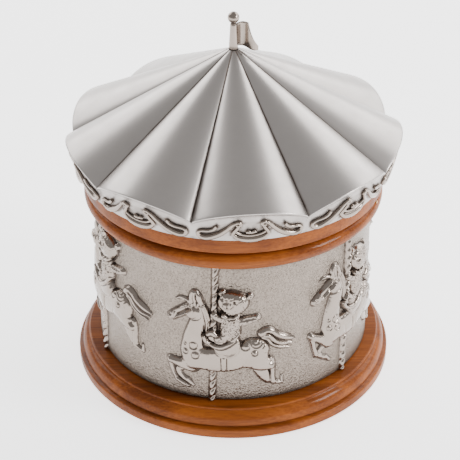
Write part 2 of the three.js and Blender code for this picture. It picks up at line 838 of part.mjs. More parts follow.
function makeFinial() {
  const ball = Array.from({ length: 6 }, (_, step) => {
    const angle = THREE.MathUtils.lerp(-Math.PI / 3, Math.PI / 2, step / 5);
    return [finial.ballRadius * Math.cos(angle), ballCentre + finial.ballRadius * Math.sin(angle)];
  });
  const profile = [
    [0, canopyTop + gap - finial.studLength],
    [finial.studRadius, canopyTop + gap - finial.studLength],
    [finial.studRadius, canopyTop + gap],
    [finial.footRadius, canopyTop + gap],
    [finial.neckRadius, ballCentre - finial.ballRadius * 0.9],
    ...ball.slice(0, -1),
    [0, ballCentre + finial.ballRadius],
  ];
  return turned(profile, 12);
}

function makePennant() {
  const sheet = new THREE.BoxGeometry(1, 1, 1, pennant.segments, 1, 1);
  const position = sheet.attributes.position;
  const top = ballCentre - finial.ballRadius;
  const heading = radians(pennant.direction);
  const start = finial.footRadius + gap;
  for (let i = 0; i < position.count; i += 1) {
    const [along, up, through] = [position.getX(i) + 0.5, position.getY(i) + 0.5, position.getZ(i)];
    const upper = top - pennant.topFall * along;
    const lower = top - pennant.depth + pennant.bottomRise * along;
    const across = pennant.wave * Math.sin(2 * Math.PI * along) + pennant.thickness * through;
    const distance = start + pennant.length * along;
    const x = distance * Math.sin(heading) + across * Math.cos(heading);
    const y = -distance * Math.cos(heading) + across * Math.sin(heading);
    position.setXYZ(i, x, y, THREE.MathUtils.lerp(lower, upper, up));
  }
  return sheet;
}

// ---------------------------------------------------------------- horse, pole and rider

// A limb on the drum: two ends given as [along the drum, height, depth, radius].
function limb([s0, z0, d0, r0], [s1, z1, d1, r1]) {
  const sides = Math.max(r0, r1) > 4 ? 7 : 5;
  const from = new THREE.Vector3(s0, z0, d0);
  const direction = new THREE.Vector3(s1, z1, d1).sub(from);
  const length = direction.length();
  const profile = [[0, -r0 * 0.8], [r0, 0], [r1, length], [0, length + r1 * 0.8]];
  const geometry = new THREE.LatheGeometry(profile.map(([r, y]) => new THREE.Vector2(r, y)), sides);
  const turn = new THREE.Quaternion().setFromUnitVectors(new THREE.Vector3(0, 1, 0), direction.normalize());
  return geometry.applyQuaternion(turn).translate(s0, z0, d0);
}

// Lays a shape drawn as [along, height, depth] onto the drum, flattened towards it.
function wrapped(geometry, degrees) {
  const position = geometry.attributes.position;
  for (let i = 0; i < position.count; i += 1) {
    const angle = degrees + THREE.MathUtils.radToDeg(position.getX(i) / drum.radius);
    const radius = drum.radius + position.getZ(i) * horses.flatness;
    position.setXYZ(i, ...around(radius, angle, position.getY(i)));
  }
  return geometry;
}

function horseLimbs() {
  const horse = [
    [[-4.6, 22.6, 1, 7], [13.4, 23.6, 1, 7.8]], // trunk
    [[-5.8, 27, 1.5, 6], [-8, 42.5, 1.5, 4.6]], // neck
    [[-9.4, 44.4, 1.8, 4.2], [-15.2, 37.2, 1.8, 2.3]], // head
    [[-7.4, 44, 1.5, 2.4], [-6.8, 50.6, 1.5, 1.3]], // ear
    [[-8, 20, 1.5, 4], [-16.9, 17.2, 1.8, 2.2]], // raised foreleg
    [[-16.9, 17.2, 1.8, 2.2], [-9.6, 7.8, 1.5, 1.6]],
    [[-3, 17, 1.5, 3.4], [-8.4, 9.6, 1.5, 1.7]], // far foreleg
    [[15, 21, 1.8, 6], [22.4, 19.6, 1.8, 2.2]], // near hind leg
    [[22.4, 19.6, 1.8, 2.2], [26.4, 8.4, 1.5, 1.7]],
    [[12, 18, 1.5, 3.6], [20.6, 9.6, 1.5, 1.8]], // far hind leg
    [[15, 28, 1.8, 3.2], [28.6, 25, 1.5, 2.6]], // tail
  ];
  const bear = [
    [[5.4, 31, 2.6, 6], [8.2, 41, 2.6, 5]], // trunk
    [[8.8, 46.4, 3.2, 6.2], [9.6, 47, 3.2, 6.2]], // head
    [[5.2, 51.2, 2.4, 1.9], [13.6, 49, 2.4, 1.9]], // ears
    [[0.8, 40.2, 3.2, 1.9], [16.2, 40.4, 3.2, 1.9]], // arms
    [[5.6, 34, 3.6, 2.8], [1, 27.2, 3.6, 2.2]], // leg
  ];
  const scale = drum.height / horses.drawnHeight;
  const place = (end) => end.map((size, axis) => size * scale + (axis === 1 ? plinthTop : 0));
  return [...horse, ...bear].map(([from, to]) => limb(place(from), place(to)));
}

// The relief is built at the first place, where the drum's facets are cut out of it with a gap.
function makeHorse() {
  const bar = new THREE.CylinderGeometry(pole.radius, pole.radius, drumTop - drumBottom - 2 * pole.foot, 8)
    .translate(0, (drumTop + drumBottom) / 2, 0);
  const barRadius = drum.radius + pole.depth;
  const upright = bar.rotateX(Math.PI / 2).translate(...around(barRadius, horses.first));
  const limbs = horseLimbs().map((piece) => wrapped(piece, horses.first));
  const core = disc(drum.radius + gap, 0, canopyTop, ringSegments);
  return { figure: cut(join(...limbs), core), upright: cut(upright, core) };
}

// ---------------------------------------------------------------- assembly

function namedMesh(name, geometry, { color, roughness, metalness }) {
  const material = new THREE.MeshStandardMaterial({ color, roughness, metalness, name: `${name}_finish` });
  const mesh = new THREE.Mesh(closed(geometry), material);
  mesh.name = name;
  return mesh;
}

// One group for each body that moves as a whole.
function body(pieces) {
  const group = new THREE.Group();
  pieces.forEach(([name, geometry, look]) => group.add(namedMesh(name, geometry, look)));
  return group;
}

function numbered(name, items, make, look) {
  return items.map((item, index) => [`${name}_${index + 1}`, make(item, index), look]);
}

function makeBase() {
  const bracketHead = bedTop + 2 * gap + bracket.thickness;
  const combHead = combBottom + comb.thickness + gap;
  return body([
    ['plinth', makePlinth(), finishes.wood],
    ['base_felt', makeFelt(), finishes.felt],
    ['bedplate', makeBedplate(), finishes.steel],
    ['arbor_bush', makeArborBush(), finishes.brass],
    ['clutch_spring', makeClutchSpring(), finishes.springSteel],
    ['bracket_near', makeBracketNear(), finishes.steel],
    ['bracket_far', makeBracketFar(), finishes.steel],
    ['governor_bracket', makeGovernorBracket(), finishes.steel],
    ['comb', makeComb(), finishes.springSteel],
    ...numbered('movement_screw', thirds, (degrees) => (
      screwUp(recessTop - gap, plinth.web + bedplate.thickness, degrees, movementScrewPlace)), finishes.brass),
    ...numbered('bracket_screw', bracketScrewPlaces(), ([x, y]) => (
      screwDown(bracketHead, bracket.thickness + bedplate.thickness, x, y)), finishes.steel),
    ...numbered('comb_screw', combScrewPlaces(), ([x, y]) => (
      screwDown(combHead, comb.screwDepth, x, y)), finishes.brass),
  ]);
}

function makeKeyBody() {
  return body([
    ['winding_key', makeKey(), finishes.brass],
    ['winding_arbor', makeArbor(), finishes.steel],
  ]);
}

function makeHorses() {
  const { figure, upright } = makeHorse();
  return Array.from({ length: horses.count }, (_, index) => {
    const turn = index * 2 * Math.PI / horses.count;
    const lift = horses.lifts[index % horses.lifts.length] * drum.height;
    const rider = figure.clone().rotateZ(turn).translate(0, 0, lift);
    return [`horse_relief_${index + 1}`, join(rider, upright.clone().rotateZ(turn)), finishes.polishedPewter];
  });
}

function makeCarousel() {
  const washerBottom = boardTop + gap;
  const washerTop = washerBottom + nut.washerThickness;
  const bore = spindle.threadRadius + gap;
  const finialNutBottom = canopyTop - canopy.wall - gap - finial.nutThickness;
  const finialBore = finial.studRadius + gap;
  const drumScrewHead = drumTop - drum.flangeThickness - gap;
  return body([
    ['spring_barrel', makeBarrel(), finishes.brass],
    ['crown_wheel', makeCrownWheel(), finishes.brass],
    ['mainspring', makeMainspring(), finishes.springSteel],
    ['barrel_cover', makeBarrelCover(), finishes.brass],
    ['output_spindle', makeSpindle(), finishes.steel],
    ['drum_shell', makeDrum(), finishes.pewter],
    ['roof_board', makeBoard(), finishes.wood],
    ['ring_pin', ringPin(), finishes.brass],
    ['spindle_washer', ring(nut.washerRadius, bore, washerBottom, washerTop), finishes.steel],
    ['spindle_nut', hexNut(nut.radius, bore, nut.thickness, washerTop + gap), finishes.steel],
    ...numbered('drum_screw', thirds, (degrees) => (
      screwUp(drumScrewHead, screw.length, degrees, drumScrewPlace)), finishes.brass),
    ...numbered('canopy_screw', thirds, (degrees) => screwUp(
      boardBottom - gap, boardTop - boardBottom + boss.screwDepth, boss.first + degrees, boss.place,
    ), finishes.brass),
    ['canopy', makeCanopy(), finishes.pewter],
    ['finial', makeFinial(), finishes.polishedPewter],
    ['finial_nut', hexNut(finial.nutRadius, finialBore, finial.nutThickness, finialNutBottom), finishes.steel],
    ['pennant', makePennant(), finishes.polishedPewter],
    ...makeHorses(),
  ]);
}

function makeCylinderBody() {
  const pinionBore = cylinder.arborRadius + gap;
  const arborStart = crownInner - 0.7;
  const arborEnd = farBracketX + bracket.thickness + gap;
  return body([
    ['pin_cylinder', makePinCylinder(), finishes.brass],
    ['cylinder_arbor', rodX(cylinder.arborRadius, arborStart, arborEnd, 0, cylinderLevel), finishes.steel],
    ['cylinder_pinion', gearAlongX(
      cylinderPinion.teeth, pinionPitchRadius, crown.addendum, pinionBore, cylinderPinion.width, crownInner, 0,
    ), finishes.steel],
    ['cylinder_gear', gearAlongX(
      cylinderGear.teeth, cylinderGear.pitchRadius, cylinderGear.addendum, pinionBore, cylinderGear.width,
      gearX, 0,
    ), finishes.brass],
  ]);
}

function makeGovernorBody() {
  const bore = governorPinion.arborRadius + gap;
  const arborEnd = outerBracketX + bracket.thickness + gap;
  const halfPitch = Math.PI / governorPinion.teeth;
  return body([
    ['governor_arbor', rodX(governorPinion.arborRadius, gearX - 1, arborEnd, governorY, cylinderLevel, 10),
      finishes.steel],
    ['governor_pinion', gearAlongX(
      governorPinion.teeth, governorPinionRadius, cylinderGear.addendum, bore, cylinderGear.width, gearX,
      governorY, halfPitch,
    ), finishes.steel],
    ['worm_wheel', gearAlongX(
      worm.wheelTeeth, wormWheelRadius, worm.addendum, bore, worm.wheelWidth, wheelX, governorY,
    ), finishes.brass],
  ]);
}

function makeFanBody() {
  return body([
    ['worm_shaft', makeWormShaft(), finishes.steel],
    ['fan', makeFan(), finishes.brass],
  ]);
}

const group = new THREE.Group();
group.add(makeBase(), makeKeyBody(), makeCarousel(), makeCylinderBody(), makeGovernorBody(), makeFanBody());

export default group;
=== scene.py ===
"""A wind-up musical carousel of cast pewter and turned wood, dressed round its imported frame.

Every length is in millimetres until a mesh is made, and angles go round the axis in degrees from
the front (-Y) towards the right (+X). Each sub-assembly is a class with its sizes as fields, and
main() builds them in the order in which the real ones are put together.
"""

import json
import logging
import math
from dataclasses import dataclass, field, replace
from enum import Enum
from typing import Any, Iterable, Sequence, Union

import bpy
import numpy as np
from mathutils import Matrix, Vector


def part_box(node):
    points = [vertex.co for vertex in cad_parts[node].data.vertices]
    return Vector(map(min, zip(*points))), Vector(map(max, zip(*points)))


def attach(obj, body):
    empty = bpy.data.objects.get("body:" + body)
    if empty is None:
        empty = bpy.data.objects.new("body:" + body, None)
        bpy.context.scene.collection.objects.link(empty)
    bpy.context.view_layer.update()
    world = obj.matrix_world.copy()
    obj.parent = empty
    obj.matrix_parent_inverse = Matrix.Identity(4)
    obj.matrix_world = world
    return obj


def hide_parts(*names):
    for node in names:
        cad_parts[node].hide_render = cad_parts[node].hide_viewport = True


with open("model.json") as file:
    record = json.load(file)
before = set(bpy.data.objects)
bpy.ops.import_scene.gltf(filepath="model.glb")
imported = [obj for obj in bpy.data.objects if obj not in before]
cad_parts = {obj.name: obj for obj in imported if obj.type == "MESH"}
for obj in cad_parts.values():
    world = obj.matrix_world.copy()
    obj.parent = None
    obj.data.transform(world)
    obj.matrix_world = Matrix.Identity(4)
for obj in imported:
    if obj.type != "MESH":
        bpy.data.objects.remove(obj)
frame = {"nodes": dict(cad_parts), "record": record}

LOG = logging.getLogger("carousel")
MM = 0.001
CAVITY = "cavity"
WHITE = (1, 1, 1, 1)

Point2 = tuple[float, float]
Point3 = tuple[float, float, float]
Colour = tuple[float, float, float, float]
Field = np.ndarray


class Slot(Enum):
    """The record's material slots."""

    WOOD = "wood"
    FELT = "felt"
    PEWTER = "pewter"
    POLISHED = "polished_pewter"
    STEEL = "steel"
    SPRING = "spring_steel"
    BRASS = "brass"


class Body(Enum):
    """The bodies that pieces ride on."""

    BASE = "base"
    CAROUSEL = "carousel"


def placed(name: str, data: Any) -> Any:
    """Adds an object to the scene.

    Args:
        name: Its name.
        data: The mesh, curve, camera or light that it shows.

    Returns:
        The object.
    """
    made = bpy.data.objects.new(name, data)
    bpy.context.scene.collection.objects.link(made)
    return made


def new_node(tree: Any, kind: str, settings: dict[str, Any] | None) -> Any:
    """Adds a node of any kind to a tree.

    Args:
        tree: The node tree.
        kind: The node's type.
        settings: Properties of the node by name.

    Returns:
        The new node.
    """
    made = tree.nodes.new(kind)
    for key, value in (settings or {}).items():
        setattr(made, key, value)
    return made


# ------------------------------------------------------------------ shader arithmetic


def colour(red: int, green: int, blue: int) -> Colour:
    """Turns a display colour into the linear one that shaders take.

    Args:
        red: Red, from 0 to 255.
        green: Green, from 0 to 255.
        blue: Blue, from 0 to 255.

    Returns:
        The linear colour with full alpha.
    """
    shares = (np.array([red, green, blue]) / 255.0).tolist()
    linear = [c / 12.92 if c <= 0.04045 else ((c + 0.055) / 1.055) ** 2.4 for c in shares]
    return (linear[0], linear[1], linear[2], 1.0)


@dataclass(frozen=True)
class Flow:
    """A number that flows through a shader, so that shader arithmetic reads as plain Python."""

    shader: "Shader"
    socket: Any

    def _sum(self, operation: str, *terms: Union["Flow", float]) -> "Flow":
        """Adds one Math node.

        Args:
            operation: The Math node's operation.
            terms: Its inputs in order.

        Returns:
            The node's result.
        """
        node = self.shader.node("ShaderNodeMath", {"operation": operation}, dict(enumerate(terms)))
        return Flow(self.shader, node.outputs[0])

    def __add__(self, other: Union["Flow", float]) -> "Flow":
        """Returns the sum."""
        return self._sum("ADD", self, other)

    def __sub__(self, other: Union["Flow", float]) -> "Flow":
        """Returns the difference."""
        return self._sum("SUBTRACT", self, other)

    def __rsub__(self, other: float) -> "Flow":
        """Returns the difference the other way round."""
        return self._sum("SUBTRACT", other, self)

    def __mul__(self, other: Union["Flow", float]) -> "Flow":
        """Returns the product."""
        return self._sum("MULTIPLY", self, other)

    __radd__ = __add__
    __rmul__ = __mul__

    def fade(self, low: float, high: float) -> "Flow":
        """Rises smoothly from 0 at low to 1 at high.

        Args:
            low: The value that gives 0.
            high: The value that gives 1.

        Returns:
            The faded number.
        """
        settings = {"interpolation_type": "SMOOTHSTEP"}
        node = self.shader.node("ShaderNodeMapRange", settings, {0: self, 1: low, 2: high})
        return Flow(self.shader, node.outputs[0])


class Shader:
    """A material under construction round one Principled shader."""

    def __init__(self, name: str) -> None:
        """Starts an empty material.

        Args:
            name: The material's name.
        """
        self.material = bpy.data.materials.new(name)
        self.material.use_nodes = True
        self.tree = self.material.node_tree
        self.surface = self.tree.nodes["Principled BSDF"]
        self.place = self.node("ShaderNodeTexCoord").outputs["Object"]

    def node(self, kind: str, settings: dict[str, Any] | None = None,
             values: dict[Any, Any] | None = None) -> Any:
        """Adds a node of any kind.

        Args:
            kind: The node's type.
            settings: Properties of the node by name.
            values: Socket values, flows or sockets by socket name or index.

        Returns:
            The new node.
        """
        made = new_node(self.tree, kind, settings)
        for key, value in (values or {}).items():
            self.feed(made.inputs[key], value)
        return made

    def feed(self, socket: Any, value: Any) -> None:
        """Links a flow or a socket to an input, or sets the input's own value.

        Args:
            socket: The input.
            value: A flow, an output socket, a number, a vector or a colour.
        """
        source = value.socket if isinstance(value, Flow) else value
        if isinstance(source, bpy.types.NodeSocket):
            self.tree.links.new(source, socket)
        else:
            socket.default_value = value

    def mark(self, name: str) -> Flow:
        """Reads a number stored on the mesh.

        Args:
            name: The attribute's name.

        Returns:
            Its value.
        """
        return Flow(self, self.node("ShaderNodeAttribute", {"attribute_name": name}).outputs["Fac"])

    def stretched(self, stretch: Point3) -> Any:
        """Scales the object coordinates.

        Args:
            stretch: The factor along each axis.

        Returns:
            The scaled coordinates.
        """
        settings = {"operation": "MULTIPLY"}
        return self.node("ShaderNodeVectorMath", settings, {0: self.place, 1: stretch}).outputs[0]

    def noise(self, size: float, stretch: Point3 = (1, 1, 1), detail: float = 3,
              roughness: float = 0.55, distortion: float = 0) -> Flow:
        """Adds noise whose blotches have a real size.

        Args:
            size: Size of a blotch in millimetres.
            stretch: Factor on the coordinates along each axis.
            detail: Octaves of detail.
            roughness: How strong the finer octaves are.
            distortion: How far the noise is twisted.

        Returns:
            The noise, round 0.5.
        """
        node = self.node("ShaderNodeTexNoise", None, {
            "Vector": self.stretched(stretch), "Scale": 1 / (size * MM), "Detail": detail,
            "Roughness": roughness, "Distortion": distortion})
        return Flow(self, node.outputs["Fac"])

    def cells(self, size: float) -> Flow:
        """Adds the distance to scattered points.

        Args:
            size: Distance between the points in millimetres.

        Returns:
            The distance in shares of the size.
        """
        values = {"Vector": self.place, "Scale": 1 / (size * MM)}
        return Flow(self, self.node("ShaderNodeTexVoronoi", None, values).outputs["Distance"])

    def blend(self, share: Union[Flow, float], first: Any, second: Any) -> Any:
        """Mixes two colours.

        Args:
            share: How much of the second.
            first: The first colour or socket.
            second: The second colour or socket.

        Returns:
            The mixed colour's socket.
        """
        node = self.node("ShaderNodeMix", {"data_type": "RGBA"}, {0: share, 6: first, 7: second})
        return node.outputs[2]

    def relief(self, height: Flow, depth: float) -> Any:
        """Turns a height into a surface bump.

        Args:
            height: The height, in shares of the depth.
            depth: The depth in millimetres.

        Returns:
            The normal's socket.
        """
        values = {"Height": height, "Distance": depth * MM, "Strength": 1.0}
        return self.node("ShaderNodeBump", None, values).outputs["Normal"]

    def done(self, values: dict[str, Any]) -> Any:
        """Sets the shader's inputs.

        Args:
            values: Values, flows or sockets by input name.

        Returns:
            The finished material.
        """
        for key, value in values.items():
            self.feed(self.surface.inputs[key], value)
        return self.material


# ------------------------------------------------------------------ finishes


@dataclass(frozen=True)
class Pewter:
    """Cast pewter: satin metal, darker where a mesh's cavity mark is high: patina in hollows, painted shade
    at edges and feet.

    Args:
        name: The material's name.
        pale: Colour where it is rubbed bright.
        dark: Colour of the patina and the painted shade, and tint of the grain's pits.
        roughness: Roughness where it is rubbed bright.
        stipple: Depth of the cast grain in millimetres.
        grain: Size of the cast grain in millimetres.
        pits: How dark the pits of the grain are, from 0 to 1.
    """

    name: str
    pale: Colour
    dark: Colour
    roughness: float
    stipple: float
    grain: float
    pits: float = 0

    def make(self) -> Any:
        """Builds the material.

        Returns:
            The material.
        """
        shader = Shader(self.name)
        cavity = shader.mark(CAVITY)
        cloud = shader.noise(7, detail=4)
        fine = shader.noise(self.grain, detail=2, roughness=0.4)
        # The cavity mark darkens the metal: patina in hollows and valley lines, painted shade along the
        # drum's edges, round the feet of reliefs and over the valance plate.
        patina_and_shade = (cavity * (0.55 + cloud * 0.9)).fade(0.12, 0.9)
        grain = fine * 0.7 + shader.cells(self.grain * 1.3) * 0.3
        pitted = (1.0 - grain.fade(0.3, 0.62)) * self.pits
        tint = shader.blend(pitted + (cloud - 0.35) * 0.25, self.pale, self.dark)
        return shader.done({
            "Base Color": shader.blend(patina_and_shade, tint, self.dark),
            "Metallic": 1.0 - patina_and_shade * 0.35,
            "Roughness": self.roughness + patina_and_shade * 0.2 + (cloud - 0.5) * 0.12,
            "Normal": shader.relief(grain, self.stipple),
        })


@dataclass(frozen=True)
class VarnishedWood:
    """Turned hardwood under gloss varnish, with its grain along X.

    Args:
        name: The material's name.
        light: Colour of the early wood.
        deep: Colour of the late wood and pores.
    """

    name: str
    light: Colour
    deep: Colour

    def make(self) -> Any:
        """Builds the material.

        Returns:
            The material.
        """
        shader = Shader(self.name)
        bands = shader.noise(9, (0.06, 1, 1.4), detail=5, roughness=0.6, distortion=0.6)
        fibres = shader.noise(0.8, (0.05, 1, 1.2), detail=3, roughness=0.7)
        pores = shader.noise(0.45, (0.08, 1, 1), detail=2).fade(0.58, 0.72)
        # The cavity mark paints shade into the grooves and under the top ring: darker wood with a thinner
        # coat there.
        painted_shade = shader.mark(CAVITY)
        figure = (bands * 0.6 + fibres * 0.4).fade(0.3, 0.72)
        base = shader.blend(figure, self.deep, self.light)
        with_pores = shader.blend(pores * 0.35, base, self.deep)
        shade = shader.blend(painted_shade * 0.8, with_pores, colour(38, 15, 5))
        return shader.done({
            "Base Color": shade,
            "Roughness": 0.5 + fibres * 0.12,
            "Specular IOR Level": 0.06,
            "Normal": shader.relief(fibres - pores * 0.3, 0.02),
            "Coat Weight": 0.26 - painted_shade * 0.2,
            "Coat Roughness": 0.13,
            "Coat IOR": 1.4,
        })


@dataclass(frozen=True)
class Metal:
    """Machined metal with fine tool marks.

    Args:
        name: The material's name.
        tint: Its colour.
        roughness: Its roughness.
    """

    name: str
    tint: Colour
    roughness: float

    def make(self) -> Any:
        """Builds the material.

        Returns:
            The material.
        """
        shader = Shader(self.name)
        marks = shader.noise(0.5, (1, 1, 6), detail=3)
        cloud = shader.noise(5, detail=3)
        worn = tuple(c * 0.55 for c in self.tint[:3]) + (1.0,)
        return shader.done({
            "Base Color": shader.blend((cloud - 0.3) * 0.6, self.tint, worn),
            "Metallic": 1.0,
            "Roughness": self.roughness + (marks - 0.5) * 0.25,
            "Normal": shader.relief(marks, 0.01),
        })


@dataclass(frozen=True)
class FeltCloth:
    """Pressed felt.

    Args:
        name: The material's name.
        tint: Its colour.
    """

    name: str
    tint: Colour

    def make(self) -> Any:
        """Builds the material.

        Returns:
            The material.
        """
        shader = Shader(self.name)
        fibres = shader.noise(0.35, detail=5, roughness=0.75, distortion=1.5)
        lumps = shader.noise(2.5, detail=3)
        pale = tuple(min(1.0, c * 2.4 + 0.01) for c in self.tint[:3]) + (1.0,)
        return shader.done({
            "Base Color": shader.blend((fibres * 0.7 + lumps * 0.3).fade(0.3, 0.75), self.tint, pale),
            "Roughness": 0.85 + fibres * 0.15,
            "Normal": shader.relief(fibres + lumps, 0.15),
        })


def finishes() -> dict[Slot, Any]:
    """Makes every finish once.

    Returns:
        The material of each slot.
    """
    kinds = {
        Slot.WOOD: VarnishedWood("varnished_wood", colour(148, 79, 25), colour(88, 40, 9)),
        Slot.FELT: FeltCloth("green_felt", colour(34, 58, 40)),
        Slot.POLISHED: Pewter("rubbed_pewter", colour(148, 137, 128), colour(62, 50, 42), 0.2, 0.004, 0.3),
        Slot.STEEL: Metal("bright_steel", colour(170, 172, 176), 0.32),
        Slot.SPRING: Metal("blued_steel", colour(78, 84, 96), 0.35),
        Slot.BRASS: Metal("satin_brass", colour(206, 160, 84), 0.3),
    }
    return {slot: kind.make() for slot, kind in kinds.items()}


STIPPLED = Pewter("stippled_pewter", colour(143, 132, 122), colour(62, 50, 41), 0.36, 0.62, 0.62, 0.3)
FLUTED = Pewter("fluted_pewter", colour(178, 172, 168), colour(92, 79, 70), 0.34, 0.002, 0.5)


# ------------------------------------------------------------------ meshes


@dataclass
class Skin:
    """A closed surface: points in millimetres, faces, and numbers stored on the points."""

    points: Field
    faces: list[Sequence[int]]
    marks: dict[str, Field] = field(default_factory=dict)

    def turned_out(self) -> "Skin":
        """Turns the faces outwards, judged by the volume that they hold.

        Returns:
            The skin itself.
        """
        volume = 0.0
        for size in (3, 4):
            faces = np.array([f for f in self.faces if len(f) == size], dtype=int)
            if not len(faces):
                continue
            for second in range(1, size - 1):
                a, b, c = (self.points[faces[:, k]] for k in (0, second, second + 1))
                volume += float(np.einsum("ij,ij->i", a, np.cross(b, c)).sum())
        if volume < 0:
            self.faces = [tuple(reversed(face)) for face in self.faces]
        return self

    def piece(self, name: str, material: Any, body: Body, slot: Slot,
              replaced: Sequence[str] = (), crease: float = 38) -> Any:
        """Makes the object and tells the frame what it is.

        Args:
            name: The object's name.
            material: Its material.
            body: The body that it rides on.
            slot: The record's slot; not used.
            replaced: CAD nodes that it stands for.
            crease: Angle in degrees above which an edge stays sharp.

        Returns:
            The object.
        """
        self.turned_out()
        mesh = bpy.data.meshes.new(name)
        mesh.from_pydata((self.points * MM).tolist(), [], self.faces)
        values = self.marks.get(CAVITY, np.zeros(len(self.points)))
        layer = mesh.attributes.new(CAVITY, "FLOAT", "POINT")
        layer.data.foreach_set("value", np.asarray(values, np.float32).ravel())
        mesh.shade_smooth()
        mesh.set_sharp_from_angle(angle=math.radians(crease))
        mesh.materials.append(material)
        made = placed(name, mesh)
        register(made, body, replaced)
        return made


def register(made: Any, body: Body, replaced: Sequence[str]) -> None:
    """Tells the frame what an object rides on and stands for.

    Args:
        made: The object.
        body: The body that it rides on.
        replaced: CAD nodes that it stands for.
    """
    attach(made, body.value)
    if replaced:
        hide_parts(*replaced)


def around(radius: Any, degrees: Any, height: Any) -> Field:
    """Gives points at a radius and an angle round the axis.

    Args:
        radius: Radius in millimetres.
        degrees: Angle from the front towards the right.
        height: Height in millimetres.

    Returns:
        The points, with x, y and z last.
    """
    radius, degrees, height = np.broadcast_arrays(radius, degrees, height)
    turn = np.radians(degrees)
    return np.stack([radius * np.sin(turn), -radius * np.cos(turn), height], axis=-1)


def strips(index: Field) -> Field:
    """Returns the quads between rows of point numbers, each row closed on itself."""
    across = np.roll(index, -1, axis=1)
    return np.stack([index[:-1], across[:-1], across[1:], index[1:]], axis=-1).reshape(-1, 4)


def woven(points: Field, marks: dict[str, Field] | None = None) -> Skin:
    """Makes a skin from rows of points that close on themselves both ways.

    Args:
        points: Rows by columns by 3.
        marks: Numbers for each point, rows by columns.

    Returns:
        The skin.
    """
    rows, columns = points.shape[:2]
    index = np.arange(rows * columns).reshape(rows, columns)
    down, across = np.roll(index, -1, axis=0), np.roll(index, -1, axis=1)
    corner = np.roll(down, -1, axis=1)
    faces = np.stack([index, across, corner, down], axis=-1).reshape(-1, 4).tolist()
    flat = {key: value.ravel() for key, value in (marks or {}).items()}
    return Skin(points.reshape(-1, 3), faces, flat)


def spun(profile: Sequence[Point2], segments: int, marks: Sequence[float] | None = None) -> Skin:
    """Turns a closed outline round the axis.

    Args:
        profile: Radius and height of each point. It may start and end on the axis.
        segments: Steps round the axis.
        marks: The cavity mark of each point.

    Returns:
        The skin.
    """
    outline = np.array(profile, float)
    tones = np.zeros(len(outline)) if marks is None else np.array(marks, float)
    degrees = np.arange(segments) * 360 / segments
    on_axis = outline[:, 0] < 1e-6
    if not on_axis.any():
        points = around(outline[:, :1], degrees[None, :], outline[:, 1:])
        return woven(points, {CAVITY: np.repeat(tones[:, None], segments, axis=1)})
    body = outline[~on_axis]
    points = around(body[:, :1], degrees[None, :], body[:, 1:]).reshape(-1, 3)
    index = np.arange(len(points)).reshape(len(body), segments)
    across = np.roll(index, -1, axis=1)
    first, last = len(points), len(points) + 1
    fans = [(first, b, a) for a, b in zip(index[0].tolist(), across[0].tolist())]
    fans += [(last, a, b) for a, b in zip(index[-1].tolist(), across[-1].tolist())]
    ends = [[0, 0, outline[0, 1]], [0, 0, outline[-1, 1]]]
    tone = np.concatenate([np.repeat(tones[~on_axis], segments), [0, 0]])
    return Skin(np.vstack([points, ends]), strips(index).tolist() + fans, {CAVITY: tone})


def arc(centre: Point2, radius: float, start: float, end: float, steps: int) -> list[Point2]:
    """Gives points along an arc of an outline.

    Args:
        centre: Radius and height of the arc's centre.
        radius: The arc's radius.
        start: Angle of the first point, in degrees from outwards towards up.
        end: Angle of the last point.
        steps: Number of points.

    Returns:
        The points.
    """
    turns = np.radians(np.linspace(start, end, steps))
    return [(centre[0] + radius * math.cos(t), centre[1] + radius * math.sin(t)) for t in turns]


def curve_through(spots: Sequence[Sequence[float]], steps: int) -> Field:
    """Draws a smooth curve through points (Catmull-Rom).

    Args:
        spots: The points, of any dimension.
        steps: Points on each stretch.

    Returns:
        The points of the curve.
    """
    knots = np.array(spots, float)
    padded = np.vstack([2 * knots[0] - knots[1], knots, 2 * knots[-1] - knots[-2]])
    share = np.linspace(0, 1, steps, endpoint=False)[:, None]
    parts = []
    for a, b, c, d in zip(padded[:-3], padded[1:-2], padded[2:-1], padded[3:]):
        parts.append(0.5 * (2 * b + (c - a) * share + (2 * a - 5 * b + 4 * c - d) * share ** 2
                            + (3 * b - a - 3 * c + d) * share ** 3))
    return np.vstack(parts + [knots[-1:]])


# ------------------------------------------------------------------ foot, drum and top ring


def node_radius(node: str) -> float:
    """Returns the largest radius of a CAD node in millimetres, taken along X."""
    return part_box(node)[1].x / MM


def node_levels(node: str) -> tuple[float, float]:
    """Returns the lowest and highest level of a CAD node in millimetres."""
    low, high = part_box(node)
    return low.z / MM, high.z / MM


